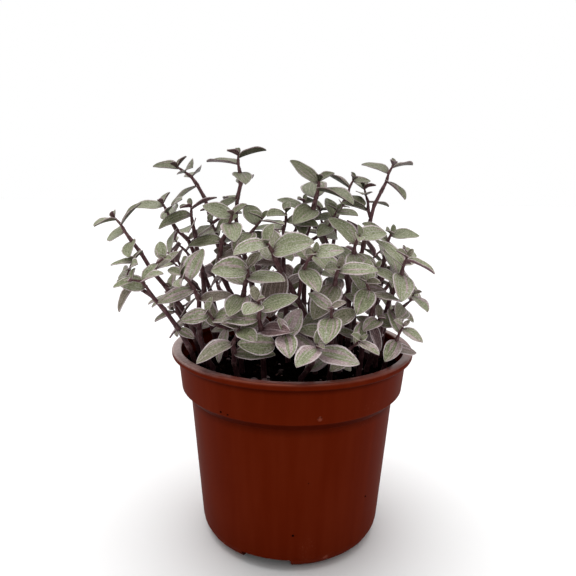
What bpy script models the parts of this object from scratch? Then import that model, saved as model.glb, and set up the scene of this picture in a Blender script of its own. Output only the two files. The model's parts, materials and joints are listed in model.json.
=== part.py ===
# Turtle vine in a 12 cm nursery pot: the pot, its soil, and each rooted leafy stem.
# Metres, +Z up. The origin is the middle of the pot's underside, which stands on the ground.
# Run with: blender --background --python part.py

import math
import random

import bmesh
import bpy
from mathutils import Quaternion, Vector
from mathutils.bvhtree import BVHTree

MM = 0.001
MERGE = 0.01 * MM

# Pot: a thin moulded shell with a lip, a band, a step and a tapering body
POT_HEIGHT = 97 * MM
RIM_RADIUS = 60 * MM
LIP_DEPTH = 3.2 * MM
LIP_ROUND = 1.3 * MM
LIP_UNDERCUT = 0.3 * MM
BAND_TOP_RADIUS = 57.0 * MM
BAND_FOOT_RADIUS = 55.4 * MM
BAND_FOOT_HEIGHT = 77.5 * MM
BODY_TOP_RADIUS = 51.1 * MM
BODY_TOP_HEIGHT = 73.2 * MM
BODY_FOOT_RADIUS = 45.3 * MM
CORNER_ROUND = 9 * MM
WALL = 1.5 * MM
AROUND = 32

# Drain openings cut through the bottom corner, the first a little left of the front
DRAIN_COUNT = 3
DRAIN_ANGLE = math.radians(-105)
DRAIN_WIDTH = 24 * MM
DRAIN_HEIGHT = 6.5 * MM
DRAIN_INNER_RADIUS = 36 * MM
DRAIN_OUTER_RADIUS = 51 * MM

# Soil: a plug 0.3 mm clear of the pot, with a plain hole for each stem
GAP = 0.3 * MM
SOIL_LEVEL = 87 * MM
SOIL_SWELL = 1.0 * MM
SOIL_WAVES = (13 * MM, 17 * MM, 21 * MM)
SOIL_RINGS = (44 * MM, 31 * MM, 16 * MM)
ROOT_DEPTH = 9 * MM
HOLE_RADIUS = 2.2 * MM
HOLE_SIDES = 5

# Stems: jointed, thin, a little zigzag, with the joints closer towards the tip
STEM_RADIUS = 1.35 * MM
SHOOT_RADIUS = 1.0 * MM
TIP_RADIUS = 0.65 * MM
BUD = 1.2 * MM
FIRST_JOINT = 3.2 * MM
JOINT_GROWTH = 1.32
LONGEST_JOINT = 11 * MM
LAST_JOINT_SHARE = 1.6
TAPER_LENGTH = 40 * MM
ZIGZAG = 0.45 * MM
STRAIGHT_RISE = 3 * MM

# Leaves: oval, pointed, folded along the midrib and arched down to the tip. They stand round the
# stem, and on a low shoot they also lean outwards, to the light, from behind the pot's middle.
BLADE_THICKNESS = 0.65 * MM
BLADE_WIDTH = 0.6
BLADE_SEAT = 0.3
BLADE_NEAR = (0.22, 0.90)
BLADE_FAR = (0.62, 0.88)
LEAF_TURN = 137.5
LEAF_TURN_SPREAD = 16
LEAF_SIZES = (0.8, 0.97, 1.0, 0.96, 0.84, 0.74, 0.68, 0.64, 0.6)
LEAF_LIFTS = (24, 12, 6, 0, -8, -14, -18, -22, -24)
LEAF_ODDS = (1, 1, 1, 0.82, 0.36, 0.26, 0.2, 0.15, 0.15)
LENGTH_SPREAD = 0.08
LIFT_SPREAD = 9
ARCH = (4, 24)
ROLL_SPREAD = 18
FOLD = (0.12, 0.42)
SLIM = (0.88, 1.08)
SLIMMER_BELOW = 0.045
LEAN_FROM = Vector((0, 45 * MM))
LEAN = 46
LEVEL_HEIGHT = POT_HEIGHT + 100 * MM
LEAN_RANGE = 42 * MM
STEM_PULL = 0.6

# How far a leaf keeps clear of other pieces, and what it tries until it is clear
CLEARANCE = 0.55 * MM
FAT_SPREAD = 1.08
FAT_START = 0.17
GUARD = 1 * MM
SHORTENED = (1, 0.86, 0.72)
LIFTED = (0, 14, -14, 28, -26)
SWUNG = (0, 22, -22, 44, -44)

# Every rooted stem, in millimetres and degrees. The first shoot rises from its root (x, y) in
# the soil through points (x, y, height above the rim). A side shoot names, in place of the
# root, how far along the first one it starts. Then come the largest leaf and its turn.
STEMS = (
    # Left side, from the low arching stem up to the tall ones
    (((-45, -20), (-49, -25, 6), (-55, -28, 19), (-65, -30, 31), (-74, -29, 37), (-72, -25, 45), 13, 160),
     (0.62, (-66, -33, 36), (-70, -37, 38), 12, 200)),
    (((-41, -11), (-50, -15, 16), (-66, -18, 40), (-78, -14, 56), (-84, -12, 63), 15, 225),
     (0.60, (-63, -23, 42), (-58, -25, 46), 12, 100)),
    (((-47, 1), (-52, 2, 5), (-58, 3, 15), (-63, 3, 24), 14, 190),),
    (((-35, 9), (-41, 10, 18), (-47, 9, 36), (-53, 7, 50), (-60, 6, 58), (-65, 5, 69), 17, 190),
     (0.55, (-56, 14, 44), (-62, 17, 50), 12, 130)),
    (((-37, -1), (-43, -1, 18), (-46, 0, 40), (-49, 0, 56), (-50, 0, 68), 17, 10),),
    (((-26, 24), (-36, 22, 28), (-42, 20, 56), (-46, 20, 69), (-51, 19, 80), (-60, 17, 87), 17, 165),
     (0.66, (-38, 26, 62), (-36, 28, 70), 13, 60)),
    (((-14, 17), (-22, 15, 30), (-30, 12, 62), (-27, 10, 76), (-28, 10, 93), 18, 15),
     (0.52, (-36, 6, 50), (-41, 3, 60), 16, 200)),
    (((-21, 2), (-29, -4, 22), (-36, -8, 42), (-29, -10, 65), 19, 150),
     (0.62, (-22, -7, 54), (-15, -5, 63), 17, 330)),
    (((-38, -19), (-43, -21, 3), (-43, -24, 18), (-44, -26, 31), (-50, -28, 39), 18, 285),
     (0.45, (-50, -20, 15), (-56, -20, 21), 13, 210)),
    (((-44, -8), (-49, -9, 6), (-55, -12, 17), (-58, -15, 31), 12, 80),),
    # Front, low over the rim
    (((-24, -20), (-25, -22, 8), (-23, -26, 26), (-20, -31, 43), 20, 200),
     (0.42, (-33, -28, 15), (-38, -32, 23), 16, 190)),
    (((-25, -32), (-26, -36, 3), (-26, -40, 10), (-23, -43, 19), 18, 300),),
    (((-13, -30), (-13, -34, 6), (-14, -40, 18), (-15, -44, 31), 17, 250),
     (0.50, (-7, -42, 12), (-3, -46, 18), 16, 290)),
    (((4, -33), (7, -39, 0), (9, -46, 7), (10, -51, 14), 20, 215),),
    (((17, -31), (17, -34, 4), (17, -38, 12), (16, -42, 28), 15, 140),
     (0.40, (24, -38, 8), (29, -42, 14), 14, 320)),
    (((11, -19), (6, -24, 20), (-3, -27, 36), (-12, -29, 54), 22, 195),
     (0.55, (4, -30, 42), (9, -31, 50), 18, 0)),
    (((22, -18), (19, -21, 10), (18, -23, 28), (20, -28, 43), 21, 5),),
    (((31, -25), (33, -25, 12), (37, -25, 26), (32, -29, 37), 16, 100),),
    (((43, -22), (45, -25, 3), (47, -29, 10), (49, -33, 18), 14, 335),),
    (((36, -17), (38, -19, 0), (40, -22, 10), (39, -26, 20), 15, 250),),
    # Middle and right
    (((-2, -5), (-4, -5, 30), (-5, -3, 50), (-4, 0, 66), 17, 240),
     (0.70, (2, 3, 60), (5, 6, 71), 14, 20)),
    (((8, 10), (5, 9, 40), (7, 7, 57), (10, 6, 68), (12, 4, 81), 22, 175),
     (0.62, (17, 4, 58), (21, 2, 67), 14, 330)),
    (((20, 17), (20, 17, 34), (21, 16, 54), (23, 16, 65), (27, 14, 74), (30, 14, 82), 15, 30),
     (0.55, (15, 20, 58), (14, 23, 66), 13, 110)),
    (((31, 9), (34, 9, 36), (38, 8, 62), (42, 8, 73), (48, 5, 89), 15, 20),
     (0.72, (37, 14, 72), (36, 18, 78), 14, 100)),
    (((28, -6), (27, -10, 22), (26, -12, 40), (30, -16, 56), 20, 20),
     (0.48, (34, -14, 34), (38, -18, 42), 15, 330)),
    (((38, 2), (42, 3, 20), (45, 4, 40), (48, 2, 56), 18, 10),
     (0.60, (52, 8, 40), (56, 10, 46), 14, 40)),
    (((41, -10), (43, -13, 14), (47, -15, 29), (50, -17, 38), (52, -19, 47), 18, 350),
     (0.48, (54, -16, 24), (56, -19, 30), 14, 300)),
    (((46, 7), (48, 8, 6), (50, 9, 16), (51, 11, 26), 15, 60),),
    # Back, out of the photograph's sight
    (((-38, 23), (-50, 29, 18), (-60, 34, 29), (-67, 38, 39), 17, 160),
     (0.55, (-58, 24, 30), (-65, 24, 37), 15, 190)),
    (((-18, 35), (-24, 40, 24), (-31, 47, 38), (-37, 53, 50), 18, 120),
     (0.58, (-20, 48, 34), (-17, 54, 42), 15, 80)),
    (((-30, 38), (-35, 44, 9), (-44, 53, 18), (-49, 59, 28), 18, 130),),
    (((-4, 29), (-6, 33, 28), (-8, 40, 42), (-9, 46, 52), 18, 100),
     (0.60, (-15, 34, 39), (-21, 34, 47), 14, 170)),
    (((-10, 44), (-12, 51, 6), (-14, 59, 16), (-15, 66, 26), 18, 95),),
    (((9, 35), (12, 41, 24), (16, 49, 37), (19, 56, 48), 19, 80),
     (0.60, (8, 52, 33), (4, 58, 40), 15, 110)),
    (((22, 40), (27, 48, 4), (33, 57, 14), (38, 63, 24), 18, 60),),
    (((27, 27), (32, 32, 28), (38, 37, 41), (43, 42, 51), 18, 50),
     (0.58, (42, 30, 37), (48, 30, 44), 15, 10)),
    (((38, 20), (47, 24, 18), (56, 28, 29), (61, 31, 37), 17, 50),
     (0.50, (50, 34, 24), (53, 40, 32), 15, 70)),
    (((0, 17), (-4, 18, 26), (-8, 20, 40), (-12, 22, 50), 17, 90),),
)

LEAF_COLOUR = (0.210, 0.225, 0.150, 1)
POT_COLOUR = (0.120, 0.014, 0.004, 1)
SOIL_COLOUR = (0.010, 0.006, 0.005, 1)


def clear_scene():
    for old in list(bpy.data.objects):
        bpy.data.objects.remove(old)


def new_collection(name):
    made = bpy.data.collections.new(name)
    bpy.context.scene.collection.children.link(made)
    return made


def material(name, colour, roughness):
    made = bpy.data.materials.new(name)
    made.use_nodes = True
    shader = made.node_tree.nodes["Principled BSDF"]
    shader.inputs["Base Color"].default_value = colour
    shader.inputs["Roughness"].default_value = roughness
    shader.inputs["Metallic"].default_value = 0
    return made


def link(name, mesh, collection):
    made = bpy.data.objects.new(name, mesh)
    collection.objects.link(made)
    return made


def shape_of(thing):
    """A plain mesh of an object's evaluated shape."""
    now = bpy.context.evaluated_depsgraph_get()
    return bpy.data.meshes.new_from_object(thing.evaluated_get(now))


def apply_modifiers(thing):
    mesh = shape_of(thing)
    thing.modifiers.clear()
    thing.data = mesh


def move_to(thing, collection):
    for old in list(thing.users_collection):
        old.objects.unlink(thing)
    collection.objects.link(thing)


def empty(collection):
    """Remove a collection and the objects in it."""
    for thing in list(collection.objects):
        bpy.data.objects.remove(thing)
    bpy.data.collections.remove(collection)


def cut(thing, cutters):
    """Cut a collection of closed cutters out of a mesh object, then remove the cutters."""
    boolean = thing.modifiers.new("cut", "BOOLEAN")
    boolean.operation = "DIFFERENCE"
    boolean.operand_type = "COLLECTION"
    boolean.collection = cutters
    apply_modifiers(thing)
    empty(cutters)


def is_one_body(mesh):
    """Whether a mesh is closed and holds together."""
    shape = bmesh.new()
    shape.from_mesh(mesh)
    closed = all(len(edge.link_faces) == 2 for edge in shape.edges)
    reached = {shape.verts[:][0]}
    waiting = list(reached)
    while waiting:
        vertex = waiting.pop()
        for edge in vertex.link_edges:
            other = edge.other_vert(vertex)
            if other not in reached:
                reached.add(other)
                waiting.append(other)
    whole = closed and len(reached) == len(shape.verts)
    shape.free()
    return whole


def join(thing, repeats):
    """Fuse a collection of closed pieces into a mesh object, then remove them."""
    before = thing.data
    for solver in ("EXACT", "MANIFOLD"):
        thing.data = before
        union = thing.modifiers.new("join", "BOOLEAN")
        union.operation = "UNION"
        union.operand_type = "COLLECTION"
        union.solver = solver
        union.collection = repeats
        apply_modifiers(thing)
        if is_one_body(thing.data):
            break
    empty(repeats)


def arc(centre, radius, start, end, steps):
    """Points (radius, height) round part of a circle, angles in degrees."""
    points = []
    for step in range(steps + 1):
        angle = math.radians(start + (end - start) * step / steps)
        points.append((centre[0] + radius * math.cos(angle), centre[1] + radius * math.sin(angle)))
    return points


def turned(name, profile, collection):
    """Turn a profile of (radius, height) points, inner side first and outer side downwards."""
    mesh = bpy.data.meshes.new(name)
    points = [(radius, 0, height) for radius, height in profile]
    mesh.from_pydata(points, [(i, i + 1) for i in range(len(points) - 1)], [])
    made = link(name, mesh, collection)
    screw = made.modifiers.new("turn", "SCREW")
    screw.steps = screw.render_steps = AROUND
    screw.use_merge_vertices = True
    screw.merge_threshold = MERGE
    apply_modifiers(made)
    return made


def inner_wall(inset):
    """The pot's inner side from the floor's corner up to the top, a distance in from the wall."""
    inside = WALL + inset
    corner = (BODY_FOOT_RADIUS - CORNER_ROUND, CORNER_ROUND)
    step = [
        (BODY_TOP_RADIUS - inside, BODY_TOP_HEIGHT),
        (BAND_FOOT_RADIUS - inside, BAND_FOOT_HEIGHT),
    ]
    return arc(corner, CORNER_ROUND - inside, -90, 0, 2) + step


def make_pot(collection):
    """The moulded pot, with its drain openings cut through the bottom corner."""
    lip_foot = POT_HEIGHT - LIP_DEPTH
    outer_corner = (BODY_FOOT_RADIUS - CORNER_ROUND, CORNER_ROUND)
    lip_centre = (RIM_RADIUS - LIP_ROUND, POT_HEIGHT - LIP_ROUND)
    lip_underside = (RIM_RADIUS - LIP_ROUND, lip_foot + LIP_ROUND)
    mouth = BAND_TOP_RADIUS - WALL
    profile = (
        [(0, WALL)]
        + inner_wall(0)
        + [(mouth, POT_HEIGHT - LIP_ROUND), (mouth + LIP_ROUND / 2, POT_HEIGHT)]
        + arc(lip_centre, LIP_ROUND, 90, 0, 2)
        + arc(lip_underside, LIP_ROUND, 0, -70, 2)
        + [(BAND_TOP_RADIUS, lip_foot + LIP_UNDERCUT)]
        + [(BAND_FOOT_RADIUS, BAND_FOOT_HEIGHT), (BODY_TOP_RADIUS, BODY_TOP_HEIGHT)]
        + arc(outer_corner, CORNER_ROUND, 0, -90, 3)
        + [(0, 0)]
    )
    pot = turned("pot", profile, collection)

    cutters = new_collection("drain cutters")
    depth = DRAIN_OUTER_RADIUS - DRAIN_INNER_RADIUS
    reach = (DRAIN_OUTER_RADIUS + DRAIN_INNER_RADIUS) / 2
    for number in range(DRAIN_COUNT):
        angle = DRAIN_ANGLE + number * 2 * math.pi / DRAIN_COUNT
        bpy.ops.mesh.primitive_cube_add(
            size=1,
            location=(reach * math.cos(angle), reach * math.sin(angle), 0),
            rotation=(0, 0, angle),
        )
        cutter = bpy.context.object
        cutter.scale = (depth, DRAIN_WIDTH, 2 * DRAIN_HEIGHT)
        move_to(cutter, cutters)
    cut(pot, cutters)
    pot.data.materials.append(material("moulded terracotta plastic", POT_COLOUR, 0.35))
    pot.data.shade_smooth()
    pot.data.set_sharp_from_angle(angle=math.radians(35))


def soil_height(x, y):
    """The height of the soil's uneven top at a place."""
    across, back, slant = SOIL_WAVES
    rise = math.sin(x / across + 0.7) * math.cos(y / back - 0.4) + 0.6 * math.sin((x + 1.7 * y) / slant)
    return SOIL_LEVEL + SOIL_SWELL * rise


def make_soil(collection):
    """The plug of potting soil, with a plain hole for each rooted stem."""
    edge = BAND_FOOT_RADIUS - WALL - GAP
    slope = (BAND_TOP_RADIUS - BAND_FOOT_RADIUS) / (POT_HEIGHT - LIP_DEPTH - BAND_FOOT_HEIGHT)
    edge += slope * (SOIL_LEVEL - BAND_FOOT_HEIGHT)
    profile = (
        [(0, SOIL_LEVEL)]
        + [(radius, SOIL_LEVEL) for radius in reversed(SOIL_RINGS)]
        + [(edge, SOIL_LEVEL)]
        + list(reversed(inner_wall(GAP)))
        + [(0, WALL + GAP)]
    )
    soil = turned("soil", profile, collection)
    for vertex in soil.data.vertices:
        if vertex.co.z > SOIL_LEVEL - GAP and vertex.co.xy.length < edge - GAP:
            vertex.co.z = soil_height(vertex.co.x, vertex.co.y)

    cutters = new_collection("stem holes")
    for stem in STEMS:
        x, y = stem[0][0]
        bpy.ops.mesh.primitive_cylinder_add(
            vertices=HOLE_SIDES,
            radius=HOLE_RADIUS,
            depth=2 * (ROOT_DEPTH + GAP),
            location=(x * MM, y * MM, SOIL_LEVEL),
        )
        move_to(bpy.context.object, cutters)
    cut(soil, cutters)
    soil.data.materials.append(material("damp peat", SOIL_COLOUR, 0.95))


def smooth_path(points, steps=8):
    """A curve through the points, as a list of places close together."""
    ends = [points[0] * 2 - points[1]] + points + [points[-1] * 2 - points[-2]]
    path = []
    for a, b, c, d in zip(ends, ends[1:], ends[2:], ends[3:]):
        for step in range(steps):
            t = step / steps
            path.append(
                b + (c - a) * (t / 2) + (a * 2 - b * 5 + c * 4 - d) * (t * t / 2)
                + (b * 3 - a - c * 3 + d) * (t * t * t / 2)
            )
    return path + [points[-1]]


def walk(path, distance):
    """The place at a distance along a path."""
    for start, end in zip(path, path[1:]):
        length = (end - start).length
        if distance <= length:
            return start.lerp(end, distance / length)
        distance -= length
    return path[-1]


def path_length(path):
    return sum((end - start).length for start, end in zip(path, path[1:]))


def grow_shoot(path, radius, turn, dice):
    """Joint the path: closer joints at the tip, each nudged to the side of its leaf."""
    length = path_length(path)
    distances = [BUD]
    joint = FIRST_JOINT
    while distances[-1] + joint * LAST_JOINT_SHARE < length:
        distances.append(distances[-1] + joint)
        joint = min(joint * JOINT_GROWTH, LONGEST_JOINT)
    joints = []
    for number, distance in enumerate(distances):
        place = walk(path, length - distance)
        spread = dice.uniform(-LEAF_TURN_SPREAD, LEAF_TURN_SPREAD)
        azimuth = math.radians(turn + number * LEAF_TURN + spread)
        if number > 0:
            place += Vector((math.cos(azimuth), math.sin(azimuth), 0)) * ZIGZAG
        thick = TIP_RADIUS + (radius - TIP_RADIUS) * distance / max(length, TAPER_LENGTH)
        up = (walk(path, length - distance) - walk(path, length - distance - LONGEST_JOINT)).normalized()
        joints.append({"place": place, "azimuth": azimuth, "radius": thick, "up": up})
    return joints


def grow_stems():
    """Every shoot of every stem: its joints from the tip down, and the rest of its spine."""
    shoots = []
    for stem_number, stem in enumerate(STEMS):
        main = None
        for shoot_number, row in enumerate(stem):
            start, largest, turn = row[0], row[-2], row[-1]
            dice = random.Random(stem_number * 10 + shoot_number)
            points = [Vector((x * MM, y * MM, z * MM + POT_HEIGHT)) for x, y, z in row[1:-2]]
            if main is None:
                root = Vector((start[0] * MM, start[1] * MM, SOIL_LEVEL - ROOT_DEPTH))
                rise = Vector((root.x, root.y, SOIL_LEVEL + STRAIGHT_RISE))
                path = smooth_path([rise] + points)
                main = path
                foot = [root]
                radius = STEM_RADIUS
            else:
                begin = walk(main, path_length(main) * start)
                path = smooth_path([begin] + points)
                foot = []
                radius = SHOOT_RADIUS
            joints = grow_shoot(path, radius, turn, dice)
            spine = [(path[-1], TIP_RADIUS)]
            spine += [(joint["place"], joint["radius"]) for joint in joints[1:]]
            spine += [(path[0], radius)] + [(place, radius) for place in foot]
            shoots.append({
                "stem": stem_number,
                "joints": joints,
                "spine": spine,
                "largest": largest * MM,
                "dice": dice,
            })
    return shoots


def blade_pattern(top, bottom, spread=1.0, start=0.0):
    """A flat closed blade of points (along, across, thickness) and its triangles.
    The outline and the fold are the same on both faces."""
    shape = bmesh.new()
    base = shape.verts.new((start, 0, top))
    near = [shape.verts.new((BLADE_NEAR[0], side * BLADE_NEAR[1] * spread, top)) for side in (-1, 1)]
    far = [shape.verts.new((BLADE_FAR[0], side * BLADE_FAR[1] * spread, top)) for side in (-1, 0, 1)]
    tip = shape.verts.new((1 + (spread - 1) / 2, 0, top))
    for corners in (
        (base, near[1], near[0]),
        (near[0], far[1], far[0]),
        (near[0], near[1], far[1]),
        (near[1], far[2], far[1]),
        (far[0], far[1], tip),
        (far[1], far[2], tip),
    ):
        shape.faces.new(corners)
    under = bmesh.ops.extrude_face_region(shape, geom=shape.faces[:], use_keep_orig=True)
    for item in under["geom"]:
        if isinstance(item, bmesh.types.BMVert):
            item.co.z = bottom
    bmesh.ops.triangulate(shape, faces=shape.faces)
    bmesh.ops.recalc_face_normals(shape, faces=shape.faces)
    shape.verts.index_update()
    points = [tuple(vertex.co) for vertex in shape.verts]
    faces = [tuple(vertex.index for vertex in face.verts) for face in shape.faces]
    shape.free()
    return points, faces


def bend_blade(pattern, leaf):
    """Place a flat pattern as a leaf: arched along its midrib, folded along it, and rolled."""
    points, _ = pattern
    out = Vector((math.cos(leaf["azimuth"]), math.sin(leaf["azimuth"]), 0))
    side = leaf["lean"] @ Vector((-out.y, out.x, 0))
    up = leaf["lean"] @ Vector((0, 0, 1))
    out = leaf["lean"] @ out
    placed = []
    for along, across, deep in points:
        pitch = leaf["lift"] - leaf["arch"] * along
        run = (math.sin(leaf["lift"]) - math.sin(pitch)) / leaf["arch"] * leaf["length"]
        climb = (math.cos(pitch) - math.cos(leaf["lift"])) / leaf["arch"] * leaf["length"]
        normal = up * math.cos(pitch) - out * math.sin(pitch)
        edge = side * math.cos(leaf["roll"]) + normal * math.sin(leaf["roll"])
        face = normal * math.cos(leaf["roll"]) - side * math.sin(leaf["roll"])
        half = leaf["length"] * BLADE_WIDTH * leaf["slim"] / 2 * across
        offset = edge * half + face * (abs(half) * leaf["fold"] + deep)
        placed.append(leaf["base"] + out * (leaf["seat"] + run) + up * climb + offset)
    return placed


def tree_of(points, faces):
    return BVHTree.FromPolygons(points, faces)


def tube_around(spine):
    """A plain square tube round a spine, used only to keep leaves clear of stems."""
    points = []
    for place, radius in spine:
        wide = radius + CLEARANCE
        for corner in ((1, 0, 0), (0, 1, 0), (-1, 0, 0), (0, -1, 0)):
            points.append(place + Vector(corner) * wide)
    faces = []
    for row in range(len(spine) - 1):
        for side in range(4):
            a, b = row * 4 + side, row * 4 + (side + 1) % 4
            faces.append((a, b, b + 4, a + 4))
    return tree_of(points, faces)


def pot_guard():
    """A ring round the pot's rim and a disc over the soil that leaves keep clear of."""
    over_soil = SOIL_LEVEL + 2 * SOIL_SWELL + GUARD
    profile = (
        (0, over_soil),
        (BAND_FOOT_RADIUS - WALL - 2 * GUARD, over_soil),
        (BAND_TOP_RADIUS - WALL - GUARD, POT_HEIGHT + GUARD),
        (RIM_RADIUS + GUARD, POT_HEIGHT + GUARD),
        (RIM_RADIUS + GUARD, POT_HEIGHT - LIP_DEPTH - GUARD),
        (BAND_FOOT_RADIUS + GUARD, BAND_FOOT_HEIGHT),
    )
    points = []
    for radius, height in profile:
        for step in range(AROUND):
            angle = step * 2 * math.pi / AROUND
            points.append(Vector((radius * math.cos(angle), radius * math.sin(angle), height)))
    faces = []
    for row in range(len(profile) - 1):
        for step in range(AROUND):
            a, b = row * AROUND + step, row * AROUND + (step + 1) % AROUND
            faces.append((a, b, b + AROUND, a + AROUND))
    return tree_of(points, faces)


def between(limits, share):
    return limits[0] + (limits[1] - limits[0]) * share


def leaf_at(shoot, number):
    """The leaf that the rule gives a joint, or None where the joint is bare."""
    joint = shoot["joints"][number]
    dice = shoot["dice"]
    kind = min(number, len(LEAF_SIZES) - 1)
    size, lift, arch, roll, fold, slim, bare = (dice.random() for _ in range(7))
    if bare > LEAF_ODDS[kind]:
        return None
    place = joint["place"]
    away = place.xy - LEAN_FROM
    lean = math.radians(LEAN) * min(1, max(0, (LEVEL_HEIGHT - place.z) / LEAN_RANGE))
    light = Quaternion((-away.y, away.x, 0), lean) @ Vector((0, 0, 1))
    return {
        "base": place,
        "seat": joint["radius"] * BLADE_SEAT,
        "azimuth": joint["azimuth"],
        "lean": Vector((0, 0, 1)).rotation_difference(light + joint["up"] * STEM_PULL),
        "lift": math.radians(LEAF_LIFTS[kind] + between((-LIFT_SPREAD, LIFT_SPREAD), lift)),
        "arch": math.radians(between(ARCH, arch)),
        "roll": math.radians(between((-ROLL_SPREAD, ROLL_SPREAD), roll)),
        "fold": between(FOLD, fold),
        "slim": between(SLIM, slim) - SLIMMER_BELOW * kind,
        "length": shoot["largest"] * LEAF_SIZES[kind]
        * between((1 - LENGTH_SPREAD, 1 + LENGTH_SPREAD), size),
    }


def clear_leaf(wanted, shoot, whole, fat, guard, stem_trees, leaf_trees):
    """Swing, lift or shorten a leaf until it is clear of every other piece. None if it never is."""
    stem = shoot["stem"]
    for shorter in SHORTENED:
        for lift in LIFTED:
            for swing in SWUNG:
                leaf = dict(wanted)
                leaf["length"] *= shorter
                leaf["lift"] += math.radians(lift)
                leaf["azimuth"] += math.radians(swing)
                tree = tree_of(bend_blade(fat, leaf), fat[1])
                if tree.overlap(guard):
                    continue
                if any(tree.overlap(other) for _, other in stem_trees + leaf_trees):
                    continue
                root = tree_of(bend_blade(whole, leaf), whole[1])
                others = [other for owner, other in stem_trees + leaf_trees if owner != stem]
                if root.overlap(guard) or any(root.overlap(other) for other in others):
                    continue
                return leaf
    return None


def grow_leaves(shoots):
    """Give the joints their leaves, the tips of all the shoots first."""
    whole = blade_pattern(0, -BLADE_THICKNESS)
    fat = blade_pattern(CLEARANCE, -BLADE_THICKNESS - CLEARANCE, FAT_SPREAD, FAT_START)
    guard = pot_guard()
    stem_trees = [(shoot["stem"], tube_around(shoot["spine"])) for shoot in shoots]
    leaf_trees = []
    leaves = []
    for number in range(max(len(shoot["joints"]) for shoot in shoots)):
        for shoot in shoots:
            if number >= len(shoot["joints"]):
                continue
            wanted = leaf_at(shoot, number)
            if wanted is None:
                continue
            leaf = clear_leaf(wanted, shoot, whole, fat, guard, stem_trees, leaf_trees)
            if leaf is None:
                continue
            leaf["stem"] = shoot["stem"]
            leaves.append(leaf)
            leaf_trees.append((shoot["stem"], tree_of(bend_blade(whole, leaf), whole[1])))
    return leaves, whole


def stem_mesh(name, spine, collection):
    """A jointed stem: a thin four-sided tube through the spine's places, closed at both ends."""
    curve = bpy.data.curves.new(name, "CURVE")
    curve.dimensions = "3D"
    curve.bevel_depth = 1
    curve.bevel_resolution = 0
    curve.use_fill_caps = True
    spline = curve.splines.new("POLY")
    spline.points.add(len(spine) - 1)
    for point, (place, radius) in zip(spline.points, spine):
        point.co = (*place, 1)
        point.radius = radius
    tube = link(name, curve, collection)
    mesh = shape_of(tube)
    bpy.data.objects.remove(tube)
    shape = bmesh.new()
    shape.from_mesh(mesh)
    bmesh.ops.remove_doubles(shape, verts=shape.verts, dist=MERGE)
    bmesh.ops.recalc_face_normals(shape, faces=shape.faces)
    shape.to_mesh(mesh)
    shape.free()
    return link(name, mesh, collection)


def make_leafy_stems(collection):
    """Fuse each rooted stem, its side shoots and their leaves into one solid."""
    shoots = grow_stems()
    leaves, pattern = grow_leaves(shoots)
    looks = material("leafy stem", LEAF_COLOUR, 0.6)
    for stem_number in range(len(STEMS)):
        repeats = new_collection("shoots and leaves to join")
        name = f"leafy_stem_{stem_number + 1:02d}"
        own = [shoot for shoot in shoots if shoot["stem"] == stem_number]
        stem = stem_mesh(name, own[0]["spine"], collection)
        for shoot in own[1:]:
            stem_mesh(name + " side shoot", shoot["spine"], repeats)
        for leaf in leaves:
            if leaf["stem"] == stem_number:
                mesh = bpy.data.meshes.new("blade")
                mesh.from_pydata(bend_blade(pattern, leaf), [], pattern[1])
                link("blade", mesh, repeats)
        join(stem, repeats)
        stem.data.materials.clear()
        stem.data.materials.append(looks)


clear_scene()
turtle_vine = new_collection("turtle vine")
make_pot(turtle_vine)
make_soil(turtle_vine)
make_leafy_stems(turtle_vine)
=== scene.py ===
# Turtle vine in its nursery pot: the finished look of every piece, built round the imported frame.
# Metres, +Z up. The origin is the middle of the pot's underside, and the front is the -Y side.

import math
import random
from itertools import product

import bmesh
import bpy
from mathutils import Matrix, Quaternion, Vector, noise
from mathutils.bvhtree import BVHTree
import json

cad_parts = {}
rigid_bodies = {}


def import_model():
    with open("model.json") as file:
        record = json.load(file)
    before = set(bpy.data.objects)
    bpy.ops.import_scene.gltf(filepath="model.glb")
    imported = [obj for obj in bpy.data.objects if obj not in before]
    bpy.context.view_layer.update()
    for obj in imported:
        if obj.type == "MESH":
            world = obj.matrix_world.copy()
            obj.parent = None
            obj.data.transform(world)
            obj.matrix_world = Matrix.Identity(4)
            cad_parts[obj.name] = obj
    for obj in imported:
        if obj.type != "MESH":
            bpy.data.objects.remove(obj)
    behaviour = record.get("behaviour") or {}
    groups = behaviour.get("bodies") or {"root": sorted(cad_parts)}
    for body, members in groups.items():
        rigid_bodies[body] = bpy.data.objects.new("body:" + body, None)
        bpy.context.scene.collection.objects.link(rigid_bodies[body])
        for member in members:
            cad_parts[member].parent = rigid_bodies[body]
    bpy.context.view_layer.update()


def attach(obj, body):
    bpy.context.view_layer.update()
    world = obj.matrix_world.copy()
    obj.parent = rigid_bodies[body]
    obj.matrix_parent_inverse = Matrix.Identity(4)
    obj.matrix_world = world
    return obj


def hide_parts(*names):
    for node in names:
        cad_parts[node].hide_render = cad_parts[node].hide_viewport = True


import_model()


# Pot. One injection moulding in terracotta-brown polypropylene: a rolled lip, a band with the
# stacking step under it, a drafted body and three drain openings through the bottom corner.
# The mould leaves a satin skin with faint upright flow lines, and a gate mark under the floor.

MM = 0.001
MERGE = 0.01 * MM
POT_HEIGHT = 97 * MM
RIM_RADIUS = 60 * MM
LIP_DEPTH = 3.2 * MM
LIP_ROUND = 1.3 * MM
BAND_TOP_RADIUS = 57.0 * MM
BAND_FOOT_RADIUS = 55.4 * MM
BAND_FOOT_HEIGHT = 77.5 * MM
BODY_TOP_RADIUS = 51.1 * MM
BODY_TOP_HEIGHT = 73.2 * MM
BODY_FOOT_RADIUS = 45.3 * MM
CORNER_ROUND = 9 * MM
WALL = 1.5 * MM
FOOT_RING = 31 * MM
FOOT_RECESS = 0.6 * MM
GATE_RADIUS = 2.2 * MM
POT_STEPS = 160
POLISH_DEPTH = 0.45 * MM
SHARP = math.radians(40)
LUMPINESS = 0.2

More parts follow.
